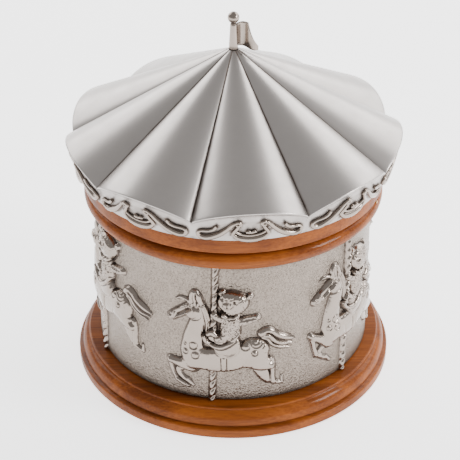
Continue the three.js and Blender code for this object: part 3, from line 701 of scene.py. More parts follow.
@dataclass
class Plinth:
    """The turned wooden foot with its band, groove and ovolo."""

    radius: float = node_radius("plinth")
    bottom: float = node_levels("plinth")[0]
    top: float = node_levels("plinth")[1]
    band: float = 4.4
    recess_radius: float = 20
    recess_top: float = 9.5
    bore: float = 4.5
    seat: float = 1.9
    seat_radius: float = 62.6
    heel_round: float = 0.7
    edge_round: float = 0.9
    ovolo_inset: float = 5.2
    ovolo_reach: float = 3.6
    lip_inset: float = 5.1
    lip_round: float = 0.62
    chamfer: float = 0.2
    segments: int = 256

    def outline(self) -> tuple[list[Point2], list[float]]:
        """Draws the foot's outline.

        Returns:
            Its points and their cavity marks.
        """
        edge = self.bottom + self.band
        side = [
            (self.seat_radius, self.bottom), (self.radius - 0.6, self.bottom),
            *arc((self.radius - self.heel_round, self.bottom + self.heel_round), self.heel_round, -80, 0, 5),
            *arc((self.radius - self.edge_round, edge - self.edge_round), self.edge_round, 0, 80, 7),
            (self.radius - 1.5, edge + 0.05),
        ]
        groove = [(self.radius - 1.75, edge + 0.15), (self.radius - 1.9, edge + 0.45)]
        rise = self.top - edge
        ovolo = [(self.radius - 1.72, edge + 0.8)]
        ovolo += [(self.radius - self.ovolo_inset + self.ovolo_reach * math.cos(t),
                   edge + 0.9 + (rise - 2.2) * math.sin(t)) for t in np.radians(np.linspace(0, 74, 14))]
        step = [(self.radius - 4.5, self.top - 1.0), (self.radius - 4.45, self.top - 0.8)]
        lip = arc((self.radius - self.lip_inset, self.top - self.lip_round), self.lip_round, 10, 90, 6)
        inside = [(self.bore + 3, self.top), (self.bore, self.top - self.chamfer),
                  (self.bore, self.recess_top), (self.recess_radius - self.chamfer, self.recess_top),
                  (self.recess_radius, self.recess_top - self.chamfer), (self.recess_radius, self.seat),
                  (self.seat_radius, self.seat)]
        points = side + groove + ovolo + step + lip + inside
        # Painted shade in the groove, at the foot of the ovolo and on the step under the lip.
        dark = {len(side): 0.45, len(side) + 1: 0.45, len(side + groove): 0.2}
        dark[len(side + groove + ovolo)] = 0.35
        dark[len(side + groove + ovolo) + 1] = 0.2
        return points, [dark.get(k, 0.0) for k in range(len(points))]

    def build(self, looks: dict[Slot, Any]) -> None:
        """Makes the foot.

        Args:
            looks: The material of each slot.
        """
        points, marks = self.outline()
        skin = spun(points, self.segments, marks)
        skin.piece("turned_foot", looks[Slot.WOOD], Body.BASE, Slot.WOOD, ["plinth"])


@dataclass
class TopRing:
    """The turned wooden ring over the drum: half round, groove and band."""

    bottom: float = node_levels("roof_board")[0]
    top: float = node_levels("roof_board")[1]
    round_radius: float = 3.5
    round_centre: float = 56.4
    round_rise: float = 3.0
    groove_floor: float = 57.4
    groove_height: float = 1.5
    band_radius: float = 60
    edge_round: float = 0.4
    bore: float = 2.8
    segments: int = 256

    def outline(self) -> tuple[list[Point2], list[float]]:
        """Draws the ring's outline.

        Returns:
            Its points and their cavity marks.
        """
        centre = (self.round_centre, self.bottom + self.round_rise)
        groove = centre[1] + self.round_radius
        band = groove + self.groove_height
        first = [(self.bore, self.bottom), (self.round_centre - 2, self.bottom)]
        half_round = arc(centre, self.round_radius, -58, 84, 26)
        floor = [(self.groove_floor, groove + 0.15), (self.groove_floor, band - 0.2),
                 (self.groove_floor + 0.4, band)]
        edge, bend = self.band_radius - self.edge_round, self.edge_round
        last = [(self.band_radius - 0.5, band), *arc((edge, band + bend), bend, -80, 0, 5),
                *arc((edge, self.top - bend), bend, 0, 90, 5), (self.bore, self.top)]
        points = first + half_round + floor + last
        start = len(first + half_round)
        # Painted shade on the groove's floor above the half round and on the underside beside it.
        dark = {start: 0.5, start + 1: 0.55, start + 2: 0.4, 1: 0.8}
        return points, [dark.get(k, 0.0) for k in range(len(points))]

    def build(self, looks: dict[Slot, Any]) -> None:
        """Makes the ring.

        Args:
            looks: The material of each slot.
        """
        points, marks = self.outline()
        skin = spun(points, self.segments, marks)
        skin.piece("turned_top_ring", looks[Slot.WOOD], Body.CAROUSEL, Slot.WOOD, ["roof_board"])


@dataclass
class Drum:
    """The cast drum with its stippled ground, and painted shade along both edges."""

    radius: float = node_radius("drum_shell")
    bottom: float = node_levels("drum_shell")[0]
    top: float = node_levels("drum_shell")[1]
    wall: float = 2
    flange: float = 5
    flange_thickness: float = 1.5
    edge: float = 0.4
    edge_shade: float = 2.2
    rows: int = 40
    segments: int = 288

    def build(self, stippled: Any) -> None:
        """Makes the drum.

        Args:
            stippled: Its material.
        """
        bore = self.radius - self.wall
        levels = np.linspace(self.bottom + self.edge, self.top - self.edge, self.rows)
        side = [(self.radius, float(level)) for level in levels]
        inner = [(self.radius - self.edge, self.top), (bore - self.flange, self.top),
                 (bore - self.flange, self.top - self.flange_thickness),
                 (bore, self.top - self.flange_thickness), (bore, self.bottom),
                 (self.radius - self.edge, self.bottom)]
        # Painted shade along the bottom edge by the foot and along the top edge under the top ring.
        near = np.minimum(levels - self.bottom, self.top - levels)
        marks = np.concatenate([np.exp(-(near / self.edge_shade) ** 2) * 0.75, np.zeros(len(inner))])
        skin = spun(side + inner, self.segments, marks)
        skin.piece("stippled_drum", stippled, Body.CAROUSEL, Slot.PEWTER, ["drum_shell"])


# ------------------------------------------------------------------ canopy


@dataclass
class Canopy:
    """The fluted tent roof with its valance."""

    lobes: int = 9
    first_valley: float = 25.8
    bottom: float = node_levels("canopy")[0]
    apex: float = node_levels("canopy")[1]
    foot_radius: float = 61.5
    valley: Point2 = (63.5, 7.6)
    ridge: Point2 = (66.4, 14.3)
    roundness: float = 0.68
    apex_radius: float = 1.9
    wall: float = 2.0
    lip: float = 0.5
    inset: float = 0.55
    valley_line: float = 0.32
    valley_shade: float = 1.8
    inner_rows: int = 8
    columns_per_lobe: int = 48
    roof_rows: int = 26
    valance_rows: int = 22

    def columns(self) -> Field:
        """Spaces the columns, closer together near the valleys.

        Returns:
            The angle of each column.
        """
        share = (1 - np.cos(np.pi * np.arange(self.columns_per_lobe) / self.columns_per_lobe)) / 2
        lobe = np.arange(self.lobes)[:, None] + share[None, :]
        return self.first_valley + lobe.ravel() * 360 / self.lobes

    def fullness(self, degrees: Any) -> Field:
        """Says how full the lobe is.

        Args:
            degrees: Angle round the axis.

        Returns:
            0 in a valley and 1 on a ridge.
        """
        turns = (np.asarray(degrees) - self.first_valley) * self.lobes / 360
        across = 2 * (turns - np.floor(turns)) - 1
        return np.maximum(0, np.cos(across * np.pi / 2)) ** self.roundness

    def rim(self, degrees: Any) -> tuple[Field, Field]:
        """Gives the rim.

        Args:
            degrees: Angle round the axis.

        Returns:
            Its radius and its height.
        """
        full = self.fullness(degrees)
        radius = self.valley[0] + (self.ridge[0] - self.valley[0]) * full
        height = self.bottom + self.valley[1] + (self.ridge[1] - self.valley[1]) * full
        return radius, height

    def valance(self, degrees: Any, rise: Any, proud: Any = 0.0) -> Field:
        """Places a point on the valance.

        Args:
            degrees: Angle round the axis.
            rise: Height above the foot in millimetres.
            proud: Distance outwards from the plate.

        Returns:
            The points.
        """
        radius, height = self.rim(degrees)
        share = rise / (height - self.bottom)
        return around(self.foot_radius + (radius - self.foot_radius) * share + proud, degrees,
                      self.bottom + rise)

    def build(self, fluted: Any, scrolls: "Scrolls") -> None:
        """Makes the roof and valance as one casting.

        Args:
            fluted: Its material.
            scrolls: The scrollwork, whose foot darkens the plate.
        """
        degrees = self.columns()
        radius, height = self.rim(degrees)
        rows: list[Field] = []
        tones: list[Field] = []
        for share in np.linspace(0, 1, self.valance_rows)[:-1]:
            rise = share * (height - self.bottom)
            inset = self.inset * np.clip(share * 8, 0, 1) * np.clip((1 - share) * 7, 0, 1)
            rows.append(self.valance(degrees, rise, -inset))
            tones.append(scrolls.shade(self, degrees, rise))
        for turn in np.radians([-70, -35, 0, 35, 70]):
            rows.append(around(radius + self.lip * (math.cos(turn) - 0.4), degrees,
                               height + self.lip * math.sin(turn)))
            tones.append(np.zeros_like(degrees))
        turns = (degrees - self.first_valley) * self.lobes / 360
        spread = np.abs(turns - np.round(turns))
        for share in np.linspace(0.012, 1, self.roof_rows):
            reach = radius + (self.apex_radius - radius) * share
            rows.append(around(reach, degrees, height + self.lip + (self.apex - height - self.lip) * share))
            off = spread * 2 * np.pi / self.lobes * reach
            # A thin patina line down each valley, with painted shade spread wider either side.
            line = np.exp(-(off / self.valley_line) ** 2) * 0.7
            line = line + np.exp(-(off / self.valley_shade) ** 2) * 0.14
            tones.append(line * np.clip(share * 30, 0, 1))
        for share in np.linspace(1, 0, self.inner_rows):
            drop = self.wall * (1.15 - 0.3 * share)
            reach = np.maximum(radius + (self.apex_radius - radius) * share - drop, 1.5)
            rows.append(around(reach, degrees, height + (self.apex - height) * share - self.wall))
            tones.append(np.zeros_like(degrees))
        rows.append(around(np.full_like(degrees, self.foot_radius - self.wall), degrees, self.bottom))
        tones.append(np.zeros_like(degrees))
        skin = woven(np.array(rows), {CAVITY: np.array(tones)})
        skin.piece("tent_roof", fluted, Body.CAROUSEL, Slot.PEWTER, ["canopy"], 42)


@dataclass(frozen=True)
class Strap:
    """One strap of scrollwork: points of (across the lobe, above the foot, half width)."""

    spots: tuple[Point3, ...]
    steps: int = 7

    def line(self) -> Field:
        """Returns the strap's points along a smooth curve."""
        return curve_through(self.spots, self.steps)

    def mirrored(self) -> "Strap":
        """Returns the same strap on the other side of the lobe."""
        return replace(self, spots=tuple((-a, h, r) for a, h, r in self.spots))


@dataclass
class Scrolls:
    """The cast scrollwork on the valance: one lobe's straps, repeated round the roof."""

    hook: Strap = Strap((
        (5.0, 9.7, 0.5), (6.3, 8.9, 0.7), (8.2, 6.6, 0.9), (11.0, 3.9, 1.15), (14.2, 2.1, 1.25),
        (17.0, 1.5, 1.2), (18.9, 2.3, 0.95), (19.1, 3.9, 0.7), (17.6, 4.8, 0.55), (15.2, 5.1, 0.6),
        (13.2, 6.1, 0.7), (12.2, 7.6, 0.6)))
    volute: Strap = Strap((
        (5.6, 9.3, 0.6), (4.5, 9.9, 0.65), (3.6, 9.0, 0.7), (4.5, 8.1, 0.65), (5.4, 8.6, 0.5)))
    stem: Strap = Strap(((4.0, 8.6, 0.6), (4.9, 6.8, 0.75), (6.0, 5.0, 0.8), (6.6, 3.4, 0.75)))
    bowl: Strap = Strap((
        (-6.6, 3.6, 0.6), (-4.8, 2.0, 1.15), (-2.4, 1.3, 1.45), (0, 1.1, 1.55), (2.4, 1.3, 1.45),
        (4.8, 2.0, 1.15), (6.6, 3.6, 0.6)))
    bowl_lip: Strap = Strap((
        (-5.6, 4.9, 0.5), (-3.4, 3.5, 0.55), (0, 2.9, 0.6), (3.4, 3.5, 0.55), (5.6, 4.9, 0.5)))
    buds: Strap = Strap((
        (-1.7, 4.6, 0.5), (-0.8, 4.9, 0.8), (0.1, 4.5, 0.6), (1.2, 5.0, 0.75), (2.0, 4.6, 0.4)))
    sides: int = 8
    proud: float = 0.1
    shade_width: float = 0.5

    def straps(self) -> list[Strap]:
        """Returns every strap of one lobe."""
        pairs = [strap for one in (self.hook, self.volute, self.stem) for strap in (one, one.mirrored())]
        return pairs + [self.bowl, self.bowl_lip, self.buds]

    def shade(self, canopy: Canopy, degrees: Field, rise: Field) -> Field:
        """Darkens the plate: patina and painted shade along the straps' feet, and painted shade over the
        whole plate, more inside the curls.

        Args:
            canopy: The roof that carries them.
            degrees: Angles round the axis.
            rise: Heights above the foot.

        Returns:
            The cavity mark.
        """
        half = 180 / canopy.lobes
        local = (degrees - canopy.first_valley) % (2 * half) - half
        across = np.radians(local) * canopy.foot_radius
        tone = np.zeros_like(degrees)
        for strap in self.straps():
            # Patina and painted shade along each strap's foot.
            for a, h, r in strap.line()[::2]:
                away = np.hypot(across - a, rise - h)
                tone = np.maximum(tone, np.exp(-(np.maximum(away - r, 0) / self.shade_width) ** 2))
        # Painted shade over the whole plate, deeper inside the curls.
        inside = ((across / 12.5) ** 2 + ((rise - 6.6) / 3.6) ** 2) < 1
        return np.maximum(tone * 0.8, np.where(inside, 0.42, 0.3))

    def curves(self, canopy: Canopy) -> Any:
        """Draws the straps of the lobe at the front as curves.

        Args:
            canopy: The roof that carries them.

        Returns:
            The curves' data.
        """
        lines = bpy.data.curves.new("scroll_lines", "CURVE")
        lines.dimensions = "3D"
        for strap in self.straps():
            spots = strap.line()
            degrees = np.degrees(spots[:, 0] / canopy.foot_radius)
            middle = canopy.first_valley + 180 / canopy.lobes
            places = canopy.valance(middle + degrees, spots[:, 1], self.proud) * MM
            spline = lines.splines.new("POLY")
            spline.points.add(len(spots) - 1)
            flat = np.concatenate([places, np.ones((len(spots), 1))], axis=1)
            spline.points.foreach_set("co", flat.astype(np.float32).ravel())
            spline.points.foreach_set("radius", (spots[:, 2] * MM).astype(np.float32))
        return lines

    def repeater(self) -> Any:
        """Builds the Geometry Nodes tree that gives the lines a body and repeats them.

        Returns:
            The tree.
        """
        tree = NodeTree("repeat_round_the_roof")
        lines = tree.given("Lines", "NodeSocketGeometry")
        sides = tree.given("Sides", "NodeSocketInt")
        lobes = tree.given("Lobes", "NodeSocketInt")
        metal = tree.given("Metal", "NodeSocketMaterial")
        section = tree.add("GeometryNodeCurvePrimitiveCircle", {}, {"Resolution": sides, "Radius": 1.0})
        radius = tree.add("GeometryNodeInputRadius").outputs[0]
        straps = tree.add("GeometryNodeCurveToMesh", {}, {
            "Curve": lines, "Profile Curve": section.outputs[0], "Scale": radius, "Fill Caps": True})
        points = tree.add("GeometryNodePoints", {}, {"Count": lobes})
        index = tree.add("GeometryNodeInputIndex").outputs[0]
        step = tree.add("ShaderNodeMath", {"operation": "DIVIDE"}, {0: math.tau, 1: lobes})
        turn = tree.add("ShaderNodeMath", {"operation": "MULTIPLY"}, {0: step.outputs[0], 1: index})
        euler = tree.add("ShaderNodeCombineXYZ", {}, {2: turn.outputs[0]})
        rotation = tree.add("FunctionNodeEulerToRotation", {}, {0: euler.outputs[0]})
        copies = tree.add("GeometryNodeInstanceOnPoints", {}, {
            "Points": points.outputs[0], "Instance": straps.outputs[0], "Rotation": rotation.outputs[0]})
        real = tree.add("GeometryNodeRealizeInstances", {}, {0: copies.outputs[0]})
        smooth = tree.add("GeometryNodeSetShadeSmooth", {}, {0: real.outputs[0]})
        painted = tree.add("GeometryNodeSetMaterial", {}, {0: smooth.outputs[0], "Material": metal})
        return tree.finish(painted.outputs[0])

    def build(self, canopy: Canopy, looks: dict[Slot, Any]) -> None:
        """Makes the scrollwork.

        Args:
            canopy: The roof that carries it.
            looks: The material of each slot.
        """
        values = {"Sides": self.sides, "Lobes": canopy.lobes, "Metal": looks[Slot.POLISHED]}
        made = grown("valance_scrolls", self.curves(canopy), self.repeater(), values)
        register(made, Body.CAROUSEL, [])


# ------------------------------------------------------------------ geometry nodes


class NodeTree:
    """A Geometry Nodes tree under construction."""

    def __init__(self, name: str) -> None:
        """Starts an empty tree.

        Args:
            name: Its name.
        """
        self.tree = bpy.data.node_groups.new(name, "GeometryNodeTree")
        self.entry = self.tree.nodes.new("NodeGroupInput")

    def given(self, name: str, kind: str) -> Any:
        """Adds a named input.

        Args:
            name: The input's name.
            kind: Its socket type.

        Returns:
            The socket to link from.
        """
        self.tree.interface.new_socket(name, in_out="INPUT", socket_type=kind)
        return self.entry.outputs[name]

    def add(self, kind: str, settings: dict[str, Any] | None = None,
            values: dict[Any, Any] | None = None) -> Any:
        """Adds a node of any kind.

        Args:
            kind: The node's type.
            settings: Properties of the node by name.
            values: Values or sockets by socket name or index.

        Returns:
            The new node.
        """
        made = new_node(self.tree, kind, settings)
        for key, value in (values or {}).items():
            if isinstance(value, bpy.types.NodeSocket):
                self.tree.links.new(value, made.inputs[key])
            else:
                made.inputs[key].default_value = value
        return made

    def finish(self, socket: Any) -> Any:
        """Links the result to the tree's output.

        Args:
            socket: The result.

        Returns:
            The tree.
        """
        self.tree.interface.new_socket("Result", in_out="OUTPUT", socket_type="NodeSocketGeometry")
        exit_node = self.tree.nodes.new("NodeGroupOutput")
        self.tree.links.new(socket, exit_node.inputs[0])
        return self.tree


def grown(name: str, data: Any, tree: Any, values: dict[str, Any]) -> Any:
    """Runs a tree once on some data and keeps the result as a plain mesh.

    Args:
        name: Name of the object to make.
        data: The data that the tree starts from.
        tree: The Geometry Nodes tree.
        values: The tree's inputs by name.

    Returns:
        The object that holds the mesh.
    """
    seed = placed(f"{name}_seed", data)
    modifier = seed.modifiers.new("grow", "NODES")
    modifier.node_group = tree
    sockets = {item.name: item.identifier for item in tree.interface.items_tree if item.in_out == "INPUT"}
    for key, value in values.items():
        modifier[sockets[key]] = value
    seed.update_tag()
    graph = bpy.context.evaluated_depsgraph_get()
    mesh = bpy.data.meshes.new_from_object(seed.evaluated_get(graph), depsgraph=graph)
    mesh.name = name
    seed.modifiers.clear()
    bpy.data.objects.remove(seed)
    return placed(name, mesh)


# ------------------------------------------------------------------ finial and pennant


@dataclass
class Finial:
    """The slender pole with its ball."""

    top: float = node_levels("finial")[1]
    bottom: float = node_levels("finial")[0]
    seat: float = node_levels("canopy")[1]
    ball_radius: float = 2.3
    neck_radius: float = 1.0
    shaft_radius: float = 1.35
    waist_radius: float = 1.58
    waist_rise: float = 5.5
    foot_radius: float = 1.8
    stud_radius: float = 1.2
    segments: int = 48

    def build(self, looks: dict[Slot, Any]) -> None:
        """Makes the finial.

        Args:
            looks: The material of each slot.
        """
        centre = self.top - self.ball_radius
        ball = arc((0, centre), self.ball_radius, -64, 89.9, 18)
        profile = [
            (0, self.bottom), (self.stud_radius, self.bottom), (self.stud_radius, self.seat - 0.6),
            (self.foot_radius - 0.35, self.seat - 0.5), (self.foot_radius, self.seat + 0.6),
            (self.foot_radius - 0.02, self.seat + 2.2), (self.waist_radius, self.seat + self.waist_rise),
            (self.shaft_radius, centre - 3.6), (self.shaft_radius - 0.08, centre - 2.8),
            (self.neck_radius, centre - 2.25), *ball, (0, self.top)]
        # Darker at the seat in the roof and at the neck just under the ball.
        tones = [0.0, 0.0, 0.0, 1.0, 0.35, 0, 0, 0, 0.3, 0.9] + [0.7, 0.3] + [0.0] * (len(ball) - 1)
        skin = spun(profile, self.segments, tones)
        skin.piece("ball_finial", looks[Slot.POLISHED], Body.CAROUSEL, Slot.POLISHED, ["finial"], 60)


@dataclass
class Pennant:
    """The cast flag: flat along its upper edge, then falling in a curve to its fly."""

    top: float = node_levels("pennant")[1]
    bottom: float = node_levels("pennant")[0]
    start: float = 1.35
    reach: float = 8.0
    flat_share: float = 0.55
    fall: float = 9.6
    wave: float = 1.25
    half_waves: float = 1.9
    drift: float = 1.2
    thickness: float = 0.7
    columns: int = 36
    rows: int = 20

    def build(self, looks: dict[Slot, Any]) -> None:
        """Makes the pennant.

        Args:
            looks: The material of each slot.
        """
        along = np.linspace(0, 1, self.columns)
        up = np.linspace(0, 1, self.rows)
        x = self.start + self.reach * along
        y = self.wave * np.sin(along * self.half_waves * np.pi) + self.drift * along
        past = np.clip((along - self.flat_share) / (1 - self.flat_share), 0, 1)
        upper = self.top - 0.3 * along - self.fall * past ** 0.65
        lower = np.minimum(self.bottom + 0.3 - 2.2 * along, upper - 0.4)
        heights = lower[None, :] + (upper - lower)[None, :] * up[:, None]
        slope = np.arctan2(np.gradient(y), np.gradient(x))
        half = self.thickness / 2 * np.minimum(1, np.minimum(up, 1 - up) * 12 + 0.4)[:, None]
        faces = []
        for side in (1, -1):
            px = x[None, :] - side * half * np.sin(slope)[None, :]
            py = y[None, :] + side * half * np.cos(slope)[None, :]
            sheet = np.stack(np.broadcast_arrays(px, py, heights), axis=-1)
            faces.append(sheet if side > 0 else sheet[:, ::-1])
        tube = np.concatenate(faces, axis=1)
        skin = capped(tube)
        skin.piece("waving_pennant", looks[Slot.POLISHED], Body.CAROUSEL, Slot.POLISHED, ["pennant"], 50)


def capped(rings: Field) -> Skin:
    """Makes a skin from closed rings, filling the first and last.

    Args:
        rings: Rings by points by 3. Each ring's second half mirrors its first.

    Returns:
        The skin.
    """
    rows, columns = rings.shape[:2]
    index = np.arange(rows * columns).reshape(rows, columns)
    faces = strips(index).tolist()
    for ring, flip in ((index[0], True), (index[-1], False)):
        for k in range(columns // 2 - 1):
            face = [int(ring[k]), int(ring[k + 1]), int(ring[columns - 2 - k]), int(ring[columns - 1 - k])]
            faces.append(tuple(reversed(face)) if flip else tuple(face))
    return Skin(rings.reshape(-1, 3), faces)


# ------------------------------------------------------------------ relief


@dataclass(frozen=True)
class Limb:
    """A limb of the relief: spots of (along the drum, height, radius), and how proud it stands."""

    spots: tuple[Point3, ...]
    base: float
    rise: float
    smooth: int = 1


@dataclass(frozen=True)
class Line:
    """A raised or sunk line of the relief: its spots, width, and height (below 0 is a groove)."""

    spots: tuple[Point2, ...]
    width: float
    height: float


@dataclass(frozen=True)
class Circle:
    """A raised ring of the relief."""

    centre: Point2
    radius: float
    width: float
    height: float


def gauss(values: Field, sigma: float) -> Field:
    """Blurs a field.

    Args:
        values: The field.
        sigma: The blur's size in cells.

    Returns:
        The blurred field.
    """
    pad = int(sigma * 3) + 1
    wide = np.pad(values, pad, mode="edge")
    rows = np.fft.fftfreq(wide.shape[0])[:, None]
    columns = np.fft.rfftfreq(wide.shape[1])[None, :]
    transfer = np.exp(-2 * (np.pi * sigma) ** 2 * (rows ** 2 + columns ** 2))
    soft = np.fft.irfft2(np.fft.rfft2(wide) * transfer, s=wide.shape)
    return soft[pad:-pad, pad:-pad]


class Modelling:
    """A relief built up on a flat board: heights over (along the drum, height above the table)."""

    flatness: float = 0.8
    round_edge: float = 1.3
    bare: float = -0.6
    kept_above: float = -0.55
    melt: float = 0.35
    edge_out: float = 0.14
    edge_width: float = 0.42
    groove_width: float = 0.32
    least_step: float = 0.12
    crevice: float = 0.55
    valley: float = 1.6
    back_depth: float = 0.9
    outside: float = 1e3

    def __init__(self, along: Point2, levels: Point2, pitch: float, lift: float, seed: int) -> None:
        """Starts a bare board.

        Args:
            along: First and last place along the drum.
            levels: Lowest and highest level.
            pitch: Distance between cells.
            lift: How much higher everything is modelled.
            seed: Seed of the hand-worked texture.
        """
        self.s, self.z = np.meshgrid(np.arange(along[0], along[1], pitch), np.arange(*levels, pitch))
        self.height = np.full(self.s.shape, self.bare)
        self.pitch = pitch
        self.lift = lift
        self.random = np.random.default_rng(seed)

    def to_line(self, spots: Sequence[Sequence[float]]) -> tuple[Field, Field]:
        """Measures from every cell to a line.

        Args:
            spots: Points of the line, each with an optional radius.

        Returns:
            The distance less the radius, and the height of a round back from 0 to 1.
        """
        signed = np.full(self.s.shape, self.outside)
        back = np.zeros(self.s.shape)
        ends = [tuple(s) + (0.0,) * (3 - len(s)) for s in spots]
        for (s0, z0, r0), (s1, z1, r1) in zip(ends[:-1], ends[1:]):
            ds, dz = s1 - s0, z1 - z0
            long = max(ds * ds + dz * dz, 1e-9)
            ps, pz = self.s - s0, self.z - self.lift - z0
            share = np.clip((ps * ds + pz * dz) / long, 0, 1)
            away = np.hypot(ps - share * ds, pz - share * dz)
            radius = r0 + (r1 - r0) * share
            signed = np.minimum(signed, away - radius)
            round_back = np.sqrt(np.clip(1 - (away / np.maximum(radius, 1e-6)) ** 2, 0, 1))
            back = np.maximum(back, round_back)
        return signed, back

    def layer(self, limbs: Iterable[Limb], soft: float = 0.8, groove: float = 0.35,
              fur: float = 0.0) -> Field:
        """Lays limbs that melt into each other over what is there, with a groove round them.

        Args:
            limbs: The limbs.
            soft: How far limbs melt into each other.
            groove: Depth of the groove round the layer.
            fur: Depth of the fur worked into it.

        Returns:
            The cells that the layer covers.
        """
        signed = np.full(self.s.shape, self.outside)
        total = np.zeros(self.s.shape)
        for limb in limbs:
            line = curve_through(limb.spots, 5) if limb.smooth and len(limb.spots) > 2 else limb.spots
            away, back = self.to_line(line)
            level = limb.base * (1 - 0.75 * (1 - back) ** 2) + limb.rise * back - np.maximum(away, 0) * 3
            total += np.exp(np.clip(level / (soft * self.melt), -60, 60))
            near = np.clip(0.5 + 0.5 * (signed - away) / soft, 0, 1)
            signed = signed + (away - signed) * near - soft * near * (1 - near)
        level = np.log(np.maximum(total, 1e-30)) * soft * self.melt
        if fur:
            level = level + fur * self.hair(0.16, 0.5)
        cover = np.clip((self.edge_out - signed) / self.edge_width, 0, 1)
        cover = cover * cover * (3 - 2 * cover)
        cut = groove * np.exp(-(np.maximum(signed, 0) / self.groove_width) ** 2)
        ground = self.height - cut * (self.height > 0.3)
        self.height = ground + (np.maximum(level, ground + self.least_step) - ground) * cover
        return signed < 0

    def hair(self, thin: float, long: float) -> Field:
        """Makes short tufts.

        Args:
            thin: Width of a tuft.
            long: Length of a tuft.

        Returns:
            A field round 0, about 1 high.
        """
        grain = self.random.normal(size=self.s.shape)
        tufts = gauss(grain, thin / self.pitch) - gauss(grain, long / self.pitch)
        return tufts / tufts.std()

    def trace(self, marks: Iterable[Line | Circle], cover: Field | None = None) -> None:
        """Adds raised and sunk lines to the figure.

        Args:
            marks: The lines and rings.
            cover: The cells that may change, or all those above the ground.
        """
        allowed = self.height > 0.4 if cover is None else cover
        for mark in marks:
            if isinstance(mark, Circle):
                away = np.hypot(self.s - mark.centre[0], self.z - self.lift - mark.centre[1]) - mark.radius
            else:
                away = self.to_line(curve_through(mark.spots, 6) if len(mark.spots) > 2 else mark.spots)[0]
            self.height += mark.height * np.exp(-(away / mark.width) ** 2) * allowed

    def skin(self, drum_radius: float, degrees: float) -> Skin:
        """Lays the relief on the drum.

        Args:
            drum_radius: The drum's radius.
            degrees: Where the relief's own axis stands.

        Returns:
            A closed skin, its back inside the drum's wall.
        """
        inside = gauss((self.height > 0).astype(float), self.round_edge / self.pitch)
        full = np.clip((inside - 0.4) / 0.58, 0, 1)
        softened = self.height * self.flatness * (0.42 + 0.58 * np.sin(full * np.pi / 2))
        self.height = np.where(self.height > 0, softened, self.height)
        # Lifts a thin fringe round the figure, which the foot mark below darkens into an outline all round.
        figure = gauss((self.height > 0).astype(float), 0.35 / self.pitch)
        self.height = np.where(figure > 0.1, np.maximum(self.height, 0.05), self.height)
        soft = gauss(self.height, self.crevice / self.pitch)
        wide = gauss(self.height, self.valley / self.pitch)
        # Hollows get patina; the foot of every wall and the fringe round the figure get patina and painted
        # contact shadow.
        hollow = np.clip((soft - self.height) * 2.2, 0, 1) + np.clip((wide - self.height) * 0.3, 0, 0.4)
        foot = np.clip(1 - self.height * 2.2, 0, 1) * 0.85
        cavity = np.clip(np.maximum(hollow, foot), 0, 1)
        cells = self.height > self.kept_above
        keep = cells[:-1, :-1] | cells[1:, :-1] | cells[:-1, 1:] | cells[1:, 1:]
        angle = degrees + np.degrees(self.s / drum_radius)
        front = around(drum_radius + self.height, angle, self.z)
        back = around(np.full(self.s.shape, drum_radius - self.back_depth), angle, self.z)
        return shell(front, back, keep, cavity)


def shell(front: Field, back: Field, keep: Field, marks: Field) -> Skin:
    """Joins a front and a back sheet into a closed skin over the cells that are kept.

    Args:
        front: Rows by columns by 3.
        back: The same grid behind it.
        keep: Which cells between the points are kept.
        marks: The cavity mark of each front point.

    Returns:
        The skin.
    """
    rows, columns = front.shape[:2]
    index = np.arange(rows * columns).reshape(rows, columns)
    offset = rows * columns
    a, b, c, d = index[:-1, :-1][keep], index[:-1, 1:][keep], index[1:, 1:][keep], index[1:, :-1][keep]
    fore = np.stack([a, b, c, d], axis=-1)
    rear = np.stack([d, c, b, a], axis=-1) + offset
    edges = np.concatenate([fore[:, [k, (k + 1) % 4]] for k in range(4)])
    code = edges[:, 0].astype(np.int64) * offset * 2 + edges[:, 1]
    twin = edges[:, 1].astype(np.int64) * offset * 2 + edges[:, 0]
    rim = edges[~np.isin(code, twin)]
    sides = np.stack([rim[:, 1], rim[:, 0], rim[:, 0] + offset, rim[:, 1] + offset], axis=-1)
    faces = np.concatenate([fore, rear, sides])
    used, packed = np.unique(faces, return_inverse=True)
    points = np.concatenate([front.reshape(-1, 3), back.reshape(-1, 3)])[used]
    tones = np.concatenate([marks.ravel(), np.ones(offset)])[used]
    return Skin(points, packed.reshape(faces.shape).tolist(), {CAVITY: tones})


